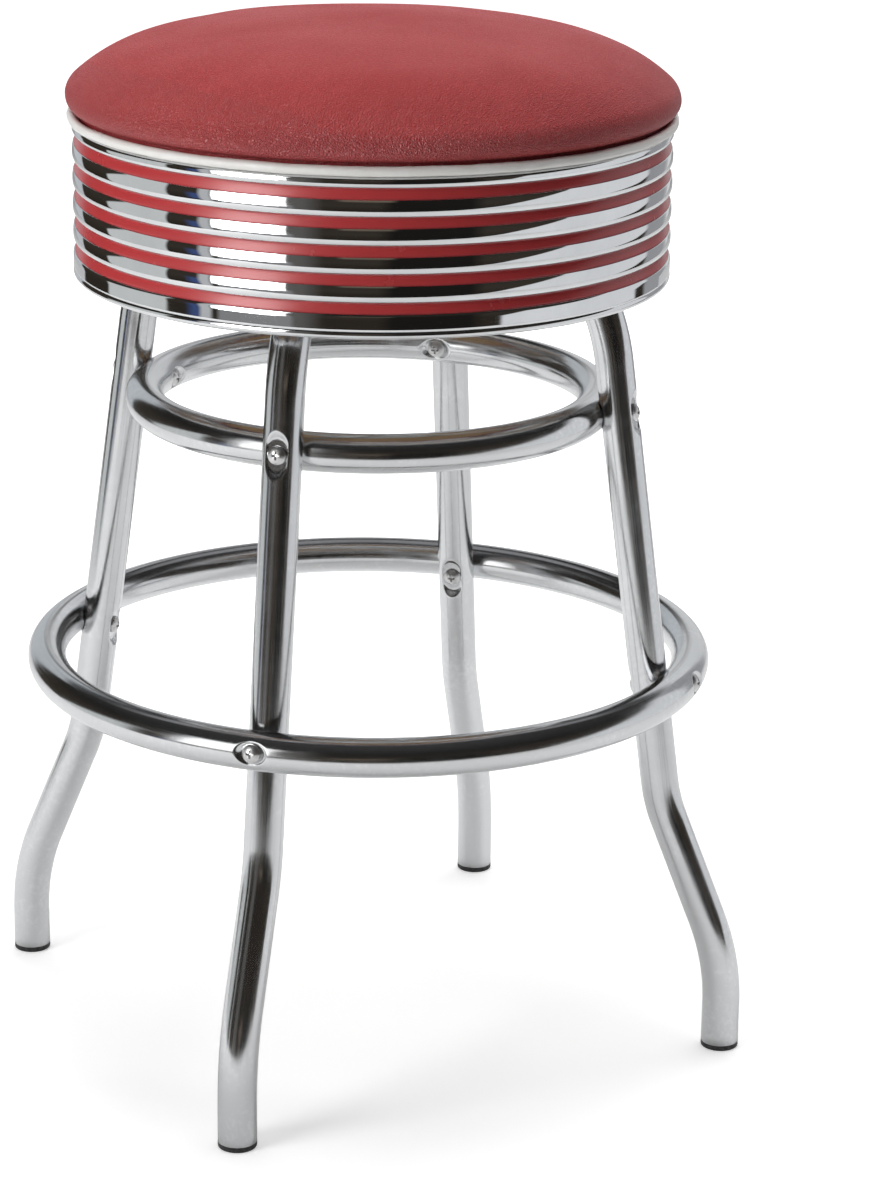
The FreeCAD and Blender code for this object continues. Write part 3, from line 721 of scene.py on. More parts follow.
def grid_cells(rows: int, columns: int, close_rows: bool,
               close_columns: bool) -> tuple[np.ndarray, np.ndarray]:
    """Row and column of every cell between a grid's vertices.

    Args:
        rows: How many rows of vertices there are.
        columns: How many vertices each row has.
        close_rows: Whether the last row joins the first.
        close_columns: Whether each row closes on itself.

    Returns:
        The row numbers and the column numbers, cell by cell.
    """
    i, j = np.meshgrid(np.arange(rows if close_rows else rows - 1),
                       np.arange(columns if close_columns else columns - 1), indexing="ij")
    return i.ravel(), j.ravel()


def grid_faces(rows: int, columns: int, close_rows: bool, close_columns: bool) -> np.ndarray:
    """Quads of a grid of vertices, row by row.

    Args:
        rows: How many rows of vertices there are.
        columns: How many vertices each row has.
        close_rows: Whether the last row joins the first.
        close_columns: Whether each row closes on itself.

    Returns:
        Four vertex numbers for each face.
    """
    i, j = grid_cells(rows, columns, close_rows, close_columns)
    i2, j2 = (i + 1) % rows, (j + 1) % columns
    return np.stack([i * columns + j, i * columns + j2, i2 * columns + j2, i2 * columns + j], 1)


def grid_lay(columns: int, close_columns: bool, row_places: np.ndarray,
             column_step: float) -> np.ndarray:
    """Surface coordinates for grid_faces: along the rows, then across them.

    Args:
        columns: How many vertices each row has.
        close_columns: Whether each row closes on itself.
        row_places: Where each row lies, and one place more where the rows close.
        column_step: Distance from one column to the next.

    Returns:
        Two coordinates for each corner of each face.
    """
    i, j = grid_cells(len(row_places), columns, False, close_columns)
    low, high = row_places[i], row_places[i + 1]
    left, right = j * column_step, (j + 1) * column_step
    corners = [(low, left), (low, right), (high, right), (high, left)]
    return np.stack([np.stack(c, 1) for c in corners], 1).reshape(-1, 2)


def noise_round(angle: float, scale: float, layer: float) -> float:
    """Noise that closes on itself round the axis.

    Args:
        angle: Where it is read, in radians.
        scale: How fine it is.
        layer: Which of its layers is read.

    Returns:
        A value between -1 and 1.
    """
    return noise.noise(Vector((math.cos(angle) * scale, math.sin(angle) * scale, layer)))


def arc_points(centre: Point2, radius: float, start: float, end: float, count: int) -> list[Point2]:
    """Points of an arc in a section, angles in degrees from outwards.

    Args:
        centre: Radius and height of the arc's centre.
        radius: The arc's radius.
        start: First angle.
        end: Last angle.
        count: How many points, both ends included.

    Returns:
        The points in order.
    """
    angles = np.radians(np.linspace(start, end, count))
    return [(centre[0] + radius * math.cos(a), centre[1] + radius * math.sin(a)) for a in angles]


def arc_through(start: Point2, middle: Point2, end: Point2, count: int) -> list[Point2]:
    """Points of the arc through three points of a section.

    Args:
        start: First point.
        middle: A point between the ends.
        end: Last point.
        count: How many points, both ends included.

    Returns:
        The points in order.
    """
    (ax, ay), (bx, by), (cx, cy) = start, middle, end
    d = 2 * (ax * (by - cy) + bx * (cy - ay) + cx * (ay - by))
    a2, b2, c2 = ax * ax + ay * ay, bx * bx + by * by, cx * cx + cy * cy
    ux = (a2 * (by - cy) + b2 * (cy - ay) + c2 * (ay - by)) / d
    uy = (a2 * (cx - bx) + b2 * (ax - cx) + c2 * (bx - ax)) / d
    radius = math.hypot(ax - ux, ay - uy)
    first = math.degrees(math.atan2(ay - uy, ax - ux))
    last = math.degrees(math.atan2(cy - uy, cx - ux))
    return arc_points((ux, uy), radius, first, last, count)


def revolve(name: str, section: Sequence[Point2], segments: int, closed: bool = True) -> bpy.types.Object:
    """Turn a section round the stool's axis.

    Args:
        name: The piece's name.
        section: Radius and height of each point, in order.
        segments: How many steps round the axis.
        closed: Whether the section's last point joins its first.

    Returns:
        The turned piece.
    """
    line = np.array(section)
    angles = np.linspace(0, 2 * math.pi, segments, endpoint=False)
    corners = np.stack([np.outer(line[:, 0], np.cos(angles)),
                        np.outer(line[:, 0], np.sin(angles)),
                        np.outer(line[:, 1], np.ones(segments))], 2).reshape(-1, 3)
    faces = grid_faces(len(line), segments, closed, True)
    loop = np.vstack([line, line[:1]]) if closed else line
    steps = np.concatenate([[0], np.cumsum(np.hypot(*np.diff(loop, axis=0).T))])
    lay = grid_lay(segments, True, steps, 2 * math.pi * line[:, 0].max() / segments)
    return new_piece(name, corners, faces, lay[:, ::-1])


def sharpen(piece: bpy.types.Object, degrees: float) -> None:
    """Keep edges sharper than an angle crisp while the rest shades smooth.

    Args:
        piece: The mesh object.
        degrees: The angle.
    """
    bpy.context.view_layer.objects.active = piece
    piece.select_set(True)
    bpy.ops.object.shade_smooth_by_angle(angle=math.radians(degrees))
    piece.select_set(False)


def soft_min(a: np.ndarray, b: np.ndarray, width: float) -> np.ndarray:
    """The smaller of two values, rounded over where they are close.

    Args:
        a: First values.
        b: Second values.
        width: How near each other they have to be.

    Returns:
        The smaller values.
    """
    h = np.clip(0.5 + 0.5 * (b - a) / width, 0, 1)
    return b * (1 - h) + a * h - width * h * (1 - h)


def finish_piece(piece: bpy.types.Object, finish: Finish, body: Body, slot: Slot,
                 *nodes: str) -> None:
    """Dress a piece, seat it on its body and let it stand for its nodes.

    Args:
        piece: The new object.
        finish: What its surface is.
        body: The body that carries it.
        slot: The record's material slot; not used.
        *nodes: Names of the frame's nodes that it stands for.
    """
    piece.data.materials.clear()
    piece.data.materials.append(finish.material())
    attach(piece, body.value)
    if nodes:
        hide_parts(*nodes)
    LOG.info("%s: %d faces on %s", piece.name, len(piece.data.polygons), body.value)


# The base: tube pieces


@dataclass
class TubeStock:
    """The round tube that legs and rings are bent from."""

    radius: float = 11.1 * MM
    wall: float = 1.2 * MM
    around: int = 112
    fine_step: float = 0.9 * MM
    coarse_step: float = 4.5 * MM
    fine_reach: float = 21 * MM
    shortest_step: float = 0.3 * MM
    bore_depth: float = 14 * MM

    def turns(self) -> np.ndarray:
        """Angles of the vertices round the tube."""
        return np.linspace(0, 2 * math.pi, self.around, endpoint=False)

    def column_step(self) -> float:
        """Distance from one vertex to the next round the tube."""
        return 2 * math.pi * self.radius / self.around

    def end_rows(self, section: np.ndarray, centre: np.ndarray, way: np.ndarray) -> list[np.ndarray]:
        """Rows of vertices that round a tube's end over and lead into its bore.

        Args:
            section: The tube's last row of vertices.
            centre: Its middle.
            way: The direction that the open end faces.

        Returns:
            The rows in order, the last one drawn together in the bore.
        """
        spokes = section - centre
        outer = np.linalg.norm(spokes, axis=1).mean()
        lip = [(0.12 * MM, 0.12 * MM), (0.6 * MM, 0.25 * MM), (self.wall - 0.1 * MM, 0.12 * MM)]
        bore = [(self.wall, 0.0), (self.wall, -self.bore_depth), (0.98 * outer, -self.bore_depth)]
        return [centre + spokes * (1 - inset / outer) + way * along for inset, along in lip + bore]


def upright(pair: Sequence[float]) -> np.ndarray:
    """A radius and a height as a point of the plane y = 0."""
    return np.array([pair[0], 0.0, pair[1]])


@dataclass
class LegShape:
    """The bent centreline of a leg in its own upright plane."""

    foot_radius: float = 223.0 * MM
    foot_height: float = 3.5 * MM
    ankle_height: float = 55.0 * MM
    ankle_bend: float = 135.0 * MM
    knee_radius: float = 182.6 * MM
    knee_height: float = 151.3 * MM
    knee_bend: float = 96.0 * MM
    lean: float = math.radians(7.9)
    run_radius: float = 24.0 * MM
    end_radius: float = 13.5 * MM
    saddle: float = 1.5 * MM

    def run_height(self) -> float:
        """Height of the level run, read from the plate that it carries."""
        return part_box("swivel_lower_plate")[0].z - self.saddle - TubeStock.radius

    def top_corner(self) -> Point2:
        """Where the leaning straight and the level run would meet."""
        height = self.run_height()
        return self.knee_radius - (height - self.knee_height) * math.tan(self.lean), height

    def top_bend(self) -> float:
        """Radius of the wide bend under the seat."""
        reach = self.top_corner()[0] - self.run_radius
        return reach / math.tan((math.pi / 2 - self.lean) / 2)

    def centreline(self) -> list[tuple[str, tuple]]:
        """Lines and arcs from the foot to the level run's end.

        Returns:
            Pieces of the path: ("line", start, end) or ("arc", centre, radius, from, to).
        """
        corners = [Vector((self.foot_radius, self.foot_height)),
                   Vector((self.foot_radius, self.ankle_height)),
                   Vector((self.knee_radius, self.knee_height)),
                   Vector(self.top_corner()),
                   Vector((self.end_radius, self.run_height()))]
        bends = [self.ankle_bend, self.knee_bend, self.top_bend()]
        pieces: list[tuple[str, tuple]] = []
        last = corners[0]
        for before, corner, after, bend in zip(corners, corners[1:], corners[2:], bends):
            way_in = (corner - before).normalized()
            way_out = (after - corner).normalized()
            half_turn = way_in.angle(way_out) / 2
            reach = bend * math.tan(half_turn)
            centre = corner + (way_out - way_in).normalized() * (bend / math.cos(half_turn))
            start, end = corner - way_in * reach, corner + way_out * reach
            pieces.append(("line", (last, start)))
            a = math.atan2(start.y - centre.y, start.x - centre.x)
            turn = (start - centre).angle_signed(end - centre)
            pieces.append(("arc", (centre, bend, a, -turn)))
            last = end
        pieces.append(("line", (last, corners[-1])))
        return pieces

    def sample(self, step: Callable[[Vector], float]) -> tuple[np.ndarray, np.ndarray]:
        """Walk the centreline.

        Args:
            step: Gives the wanted step length at a point.

        Returns:
            Points and unit tangents, both as radius and height.
        """
        points, tangents = [], []

        def put(point: Vector, tangent: Vector) -> None:
            """Keep one station of the walk."""
            points.append((point.x, point.y))
            tangents.append((tangent.x, tangent.y))

        for kind, data in self.centreline():
            if kind == "line":
                start, end = data
                length, way = (end - start).length, (end - start).normalized()
                at = 0.0
                while at < length - TubeStock.shortest_step:
                    put(start + way * at, way)
                    at += step(start + way * at)
            else:
                centre, radius, angle, turn = data
                at = 0.0
                sign = math.copysign(1.0, turn)
                while at < abs(turn) * radius - TubeStock.shortest_step:
                    now = angle + sign * at / radius
                    spot = centre + Vector((math.cos(now), math.sin(now))) * radius
                    put(spot, Vector((-math.sin(now), math.cos(now))) * sign)
                    at += step(spot)
        last_line = self.centreline()[-1][1]
        put(last_line[1], (last_line[1] - last_line[0]).normalized())
        return np.array(points), np.array(tangents)


@dataclass
class Crossing:
    """A ring that nests against the legs and is bolted to them."""

    node: str
    side: int
    nest: float = 3.6 * MM
    leg_seat_length: float = 19.0 * MM
    ring_seat_length: float = 11.8 * MM
    seat_width: float = 11.0 * MM
    seat_depth: float = 2.9 * MM
    flare: float = 1.2
    nest_gap: float = 0.1 * MM
    soft_edge: float = 0.9 * MM
    reach: float = 30 * MM
    shape: LegShape = field(default_factory=LegShape)

    def height(self) -> float:
        """Height of the ring's centreline."""
        low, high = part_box(self.node)
        return (low.z + high.z) / 2

    def between(self) -> float:
        """Distance between the two centrelines along the bolt."""
        return 2 * TubeStock.radius - self.nest

    def leg_point(self) -> tuple[float, float]:
        """Place of the leg's centreline on the bolt's axis.

        Returns:
            Its radius and its height.
        """
        reach = self.side * self.between()
        height = self.height() - reach * math.sin(self.shape.lean)
        radius = self.shape.knee_radius - (height - self.shape.knee_height) * math.tan(self.shape.lean)
        return radius, height

    def ring_radius(self) -> float:
        """Radius of the ring's centreline."""
        return self.leg_point()[0] + self.side * self.between() * math.cos(self.shape.lean)

    def frame(self, turn: float) -> np.ndarray:
        """Local axes at one leg: along the ring, along the leg, outwards.

        Args:
            turn: Where the leg stands, in degrees.

        Returns:
            A 4 by 4 matrix from local to the stool's frame.
        """
        lean = self.shape.lean
        radius, height = self.leg_point()
        reach = self.side * self.between() / 2
        place = np.eye(4)
        place[:3, 0] = (0, 1, 0)
        place[:3, 1] = (-math.sin(lean), 0, math.cos(lean))
        place[:3, 2] = (math.cos(lean), 0, math.sin(lean))
        place[:3, 3] = (radius + reach * math.cos(lean), 0, height + reach * math.sin(lean))
        return np.array(Matrix.Rotation(math.radians(turn), 4, "Z")) @ place

    def seen_from(self, corners: np.ndarray, turn: float) -> tuple[np.ndarray, np.ndarray]:
        """Vertices in the local axes of one leg's crossing.

        Args:
            corners: Vertex positions.
            turn: Where the leg stands, in degrees.

        Returns:
            The local positions and the matrix that leads back from them.
        """
        place = self.frame(turn)
        return (corners - place[:3, 3]) @ place[:3, :3], place

    def press(self, corners: np.ndarray, turn: float, along_leg: bool, outer: bool) -> None:
        """Press the seat of a bolt head into a tube, in place.

        Args:
            corners: Vertex positions of the tube.
            turn: Where the leg stands, in degrees.
            along_leg: Whether the seat is long the way the leg runs.
            outer: Whether it faces away from the stool's axis.
        """
        local, place = self.seen_from(corners, turn)
        sign = 1.0 if outer else -1.0
        height = sign * local[:, 2]
        near = (height > 0) & (height < self.reach) & (np.hypot(local[:, 0], local[:, 1]) < self.reach)
        long, wide = (local[:, 1], local[:, 0]) if along_leg else (local[:, 0], local[:, 1])
        length = self.leg_seat_length if along_leg else self.ring_seat_length
        straight = (length - self.seat_width) / 2
        away = np.hypot(np.maximum(np.abs(long) - straight, 0), wide) - self.seat_width / 2
        floor = self.between() / 2 + TubeStock.radius - self.seat_depth
        limit = floor + np.maximum(away, 0) / self.flare
        pressed = soft_min(height, limit, self.soft_edge)
        local[near, 2] = sign * pressed[near]
        corners[near] = local[near] @ place[:3, :3].T + place[:3, 3]

    def nestle(self, corners: np.ndarray, turn: float) -> None:
        """Push the ring's wall clear of the leg that it nests against, in place.

        Args:
            corners: Vertex positions of the ring.
            turn: Where the leg stands, in degrees.
        """
        local, place = self.seen_from(corners, turn)
        height = self.side * local[:, 2]
        clear = TubeStock.radius + self.nest_gap
        near = np.abs(local[:, 0]) < clear
        near &= (np.abs(local[:, 1]) < self.reach) & (np.abs(height) < self.reach)
        limit = -self.between() / 2 + np.sqrt(np.maximum(clear ** 2 - local[:, 0] ** 2, 0))
        pushed = -soft_min(-height, -limit, self.soft_edge * 0.5)
        local[near, 2] = self.side * pushed[near]
        corners[near] = local[near] @ place[:3, :3].T + place[:3, 3]


@dataclass
class Legs:
    """The four bent tubes."""

    stock: TubeStock = field(default_factory=TubeStock)
    shape: LegShape = field(default_factory=LegShape)
    lower: Crossing = field(default_factory=lambda: Crossing("lower_ring", 1))
    upper: Crossing = field(default_factory=lambda: Crossing("upper_ring", -1))

    def right_leg(self) -> tuple[np.ndarray, np.ndarray, np.ndarray]:
        """The right leg's tube with its pressed seats.

        Returns:
            Vertices, faces and surface coordinates.
        """
        marks = [self.lower.leg_point()[1], self.upper.leg_point()[1]]

        def step(point: Vector) -> float:
            """Short steps near the crossings."""
            near = any(abs(point.y - mark) < self.stock.fine_reach for mark in marks)
            return self.stock.fine_step if near else self.stock.coarse_step

        points, tangents = self.shape.sample(step)
        angles = self.stock.turns()
        rows = []
        for point, tangent in zip(points, tangents):
            spokes = np.outer(np.cos(angles), upright((tangent[1], -tangent[0])))
            spokes += np.outer(np.sin(angles), (0.0, 1.0, 0.0))
            rows.append(upright(point) + self.stock.radius * spokes)
        body = np.concatenate(rows)
        self.lower.press(body, 0.0, along_leg=True, outer=False)
        self.upper.press(body, 0.0, along_leg=True, outer=True)
        rows = list(body.reshape(len(points), -1, 3))
        head = self.stock.end_rows(rows[0], upright(points[0]), -upright(tangents[0]))[::-1]
        tail = self.stock.end_rows(rows[-1], upright(points[-1]), upright(tangents[-1]))
        rows = head + rows + tail
        centres = np.array([row.mean(0) for row in rows])
        steps = np.concatenate([[0], np.cumsum(np.linalg.norm(np.diff(centres, axis=0), axis=1))])
        faces = grid_faces(len(rows), self.stock.around, False, True)
        lay = grid_lay(self.stock.around, True, steps, self.stock.column_step())
        return np.concatenate(rows), faces, lay

    def build(self) -> None:
        """Make the four legs and dress them."""
        corners, faces, lay = self.right_leg()
        for turn in LegTurn:
            name = "leg_" + turn.name.lower()
            spin = np.array(Matrix.Rotation(math.radians(turn.value), 3, "Z"))
            piece = new_piece(name + "_tube", corners @ spin.T, faces, lay)
            finish_piece(piece, CHROMED_TUBE, Body.BASE, Slot.TUBE, name)
            sharpen(piece, 50)


@dataclass
class Ring:
    """A hoop of tube, pressed where it meets the legs."""

    crossing: Crossing
    stock: TubeStock = field(default_factory=TubeStock)
    closing: float = 1e-4

    def build(self) -> None:
        """Make the hoop and dress it."""
        radius, height = self.crossing.ring_radius(), self.crossing.height()
        stations = []
        angle = 0.0
        while angle < 2 * math.pi - self.closing:
            stations.append(angle)
            away = abs((angle + math.pi / 4) % (math.pi / 2) - math.pi / 4) * radius
            fine = away < self.stock.fine_reach
            angle += (self.stock.fine_step if fine else self.stock.coarse_step) / radius
        stations = np.array(stations) * (2 * math.pi / angle)
        turns = self.stock.turns()
        outwards = np.stack([np.cos(stations), np.sin(stations), np.zeros(len(stations))], 1)
        centre = outwards * radius + np.array([0, 0, height])
        spoke = outwards[:, None, :] * np.cos(turns)[None, :, None]
        spoke = spoke + np.array([0, 0, 1.0]) * np.sin(turns)[None, :, None]
        corners = (centre[:, None, :] + self.stock.radius * spoke).reshape(-1, 3)
        for turn in LegTurn:
            self.crossing.nestle(corners, turn.value)
            self.crossing.press(corners, turn.value, along_leg=False, outer=self.crossing.side > 0)
        faces = grid_faces(len(stations), self.stock.around, True, True)
        steps = np.append(stations, 2 * math.pi) * radius
        lay = grid_lay(self.stock.around, True, steps, self.stock.column_step())
        piece = new_piece(self.crossing.node + "_tube", corners, faces, lay)
        finish_piece(piece, CHROMED_TUBE, Body.BASE, Slot.TUBE, self.crossing.node)


# The seat


@dataclass
class Band:
    """The chromed side band with ribs, stripe grooves and a curled rim."""

    flange_inner: float = 151.0 * MM
    rib: float = 171.7 * MM
    draw_in: float = 2.2 * MM
    head_draw_in: float = 0.44 * MM
    crest: float = 0.45
    tuck: float = 2.8
    top_rib: float = 7.15 * MM
    top_bend: float = 2.5 * MM
    top_curve: float = 3.0 * MM
    pitch: float = 15.5 * MM
    stripe_height: float = 5.4 * MM
    stripe_count: int = 5
    stripe_thickness: float = 0.8 * MM
    wall: float = 1.0 * MM
    curl: float = 2.65 * MM
    lip: float = 0.25 * MM
    stripe_gap: float = 0.05 * MM
    stripe_sunk_head: float = 0.3 * MM
    stripe_sunk_foot: float = 0.5 * MM
    stripe_round: float = 0.22 * MM
    stripe_crown: float = 0.10 * MM
    segments: int = 360

    def flange_top(self) -> float:
        """Height of the flange under the board."""
        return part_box("side_band")[1].z

    def rim(self) -> float:
        """Height of the curled lower edge."""
        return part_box("side_band")[0].z

    def stripe_top(self, index: int) -> float:
        """Height of a stripe's upper edge."""
        return self.flange_top() - self.top_rib - index * self.pitch

    def rib_foot(self) -> float:
        """Radius where a rib has curved back in."""
        return self.rib - self.draw_in

    def rib_head(self) -> float:
        """Radius of a rib's upper edge."""
        return self.rib - self.head_draw_in

    def stripe_head(self) -> float:
        """Outer radius of a stripe's upper edge."""
        return self.rib_foot() - self.stripe_sunk_head

    def stripe_foot(self) -> float:
        """Outer radius of a stripe's lower edge."""
        return self.rib_head() - self.stripe_sunk_foot

    def rib_line(self, high: float, low: float) -> list[Point2]:
        """A rib's outer line: nearly flat to its crest, then tucked in to its foot.

        Args:
            high: Height of the rib's upper edge.
            low: Height of its lower edge.

        Returns:
            The points from the top down.
        """
        line = []
        for share in np.linspace(0, 1, 24):
            if share < self.crest:
                inward = self.head_draw_in * (1 - share / self.crest) ** 2
            else:
                inward = self.draw_in * ((share - self.crest) / (1 - self.crest)) ** self.tuck
            line.append((self.rib - inward, high + (low - high) * share))
        return line

    def curl_centre(self) -> Point2:
        """Middle of the curled rim, a little further out than the ribs."""
        return self.rib - self.curl + 0.1 * MM, self.rim() + self.curl

    def outside(self) -> list[Point2]:
        """The outer line of the band, from the flange to the curl's end.

        Returns:
            The points in order.
        """
        top, lip = self.flange_top(), self.lip
        groove = self.stripe_thickness + self.stripe_gap
        curve_top = self.stripe_top(0) + self.top_curve
        line = [(self.flange_inner, top), (self.flange_inner + 8 * MM, top)]
        line += arc_points((self.rib - self.top_bend, top - self.top_bend), self.top_bend, 90, 0, 12)
        line += [(self.rib, curve_top + 0.6 * MM), (self.rib, curve_top)]
        line += arc_through((self.rib, curve_top),
                            (self.rib - 0.35 * self.draw_in, curve_top - 0.5 * self.top_curve),
                            (self.rib_foot(), self.stripe_top(0)), 12)[1:]
        for index in range(self.stripe_count):
            high = self.stripe_top(index)
            low = high - self.stripe_height
            line += [(self.rib_foot() - 0.5 * lip, high - 0.02 * MM),
                     (self.stripe_head() - groove, high - 0.01 * MM),
                     (self.stripe_foot() - groove, low + 0.01 * MM),
                     (self.rib_head() - lip, low + 0.02 * MM)]
            if index < self.stripe_count - 1:
                line += self.rib_line(low - 0.5 * lip, low - (self.pitch - self.stripe_height))
        low = self.stripe_top(self.stripe_count - 1) - self.stripe_height
        crease = self.rim() + 2 * self.curl
        line += [(self.rib_head(), low - 0.5 * lip), (self.rib - 0.1 * MM, low - 0.8 * MM),
                 (self.rib, low - 1.6 * MM), (self.rib, low - 3 * MM),
                 (self.rib, (low + crease) / 2), (self.rib, crease + 0.5 * MM), (self.rib, crease)]
        line += arc_points(self.curl_centre(), self.curl, 40, -235, 40)
        return line

    def inside(self) -> list[Point2]:
        """The inner line, from the curl's end back up to the flange.

        Returns:
            The points in order.
        """
        line = arc_points(self.curl_centre(), self.curl - self.wall, -235, 40, 24)
        line.append((self.rib - self.wall, self.rim() + 2 * self.curl + self.wall / 2))
        height = self.pitch - self.stripe_height
        groove = self.stripe_thickness + self.stripe_gap + self.wall
        for index in reversed(range(self.stripe_count)):
            high = self.stripe_top(index)
            low = high - self.stripe_height
            line += [(self.rib - self.wall, low - 0.45 * height),
                     (self.rib - self.wall, low - 0.25 * height),
                     (self.stripe_foot() - groove, low - 0.9 * self.wall),
                     (self.stripe_head() - groove, high + 0.6 * self.wall)]
        top = self.flange_top()
        line.append((self.rib - self.wall, self.stripe_top(0) + self.top_curve))
        line += arc_points((self.rib - self.top_bend, top - self.top_bend),
                           self.top_bend - self.wall, 0, 90, 6)
        line.append((self.flange_inner, top - self.wall))
        return line

    def build(self) -> None:
        """Make the band and its stripes and dress them."""
        piece = revolve("side_band_sheet", self.outside() + self.inside(), self.segments)
        finish_piece(piece, CHROMED_SHEET, Body.SEAT, Slot.SHEET, "side_band")
        sharpen(piece, 32)
        for index in range(self.stripe_count):
            name = "stripe_%d" % (index + 1)
            stripe = revolve(name, self.stripe(index), self.segments)
            finish_piece(stripe, StripeRed(), Body.SEAT, Slot.STRIPE, "band_" + name)
            sharpen(stripe, 40)

    def stripe(self, index: int) -> list[Point2]:
        """Section of a stripe: a strip with softened edges and a faint crown.

        Args:
            index: The stripe's number from the top, from 0.

        Returns:
            The points in order.
        """
        high = self.stripe_top(index) - self.stripe_gap
        low = high - self.stripe_height + 2 * self.stripe_gap
        head, foot, thick = self.stripe_head(), self.stripe_foot(), self.stripe_thickness
        edge, near = self.stripe_round, 0.3 * self.stripe_round
        face = [(head - edge, high), (head - near, high - near), (head, high - edge)]
        for share in (0.25, 0.5, 0.75):
            bulge = self.stripe_crown * math.sin(math.pi * share)
            face.append((head + (foot - head) * share + bulge, high + (low - high) * share))
        face += [(foot, low + edge), (foot - near, low + near), (foot - edge, low),
                 (foot - thick, low), (head - thick, high)]
        return face


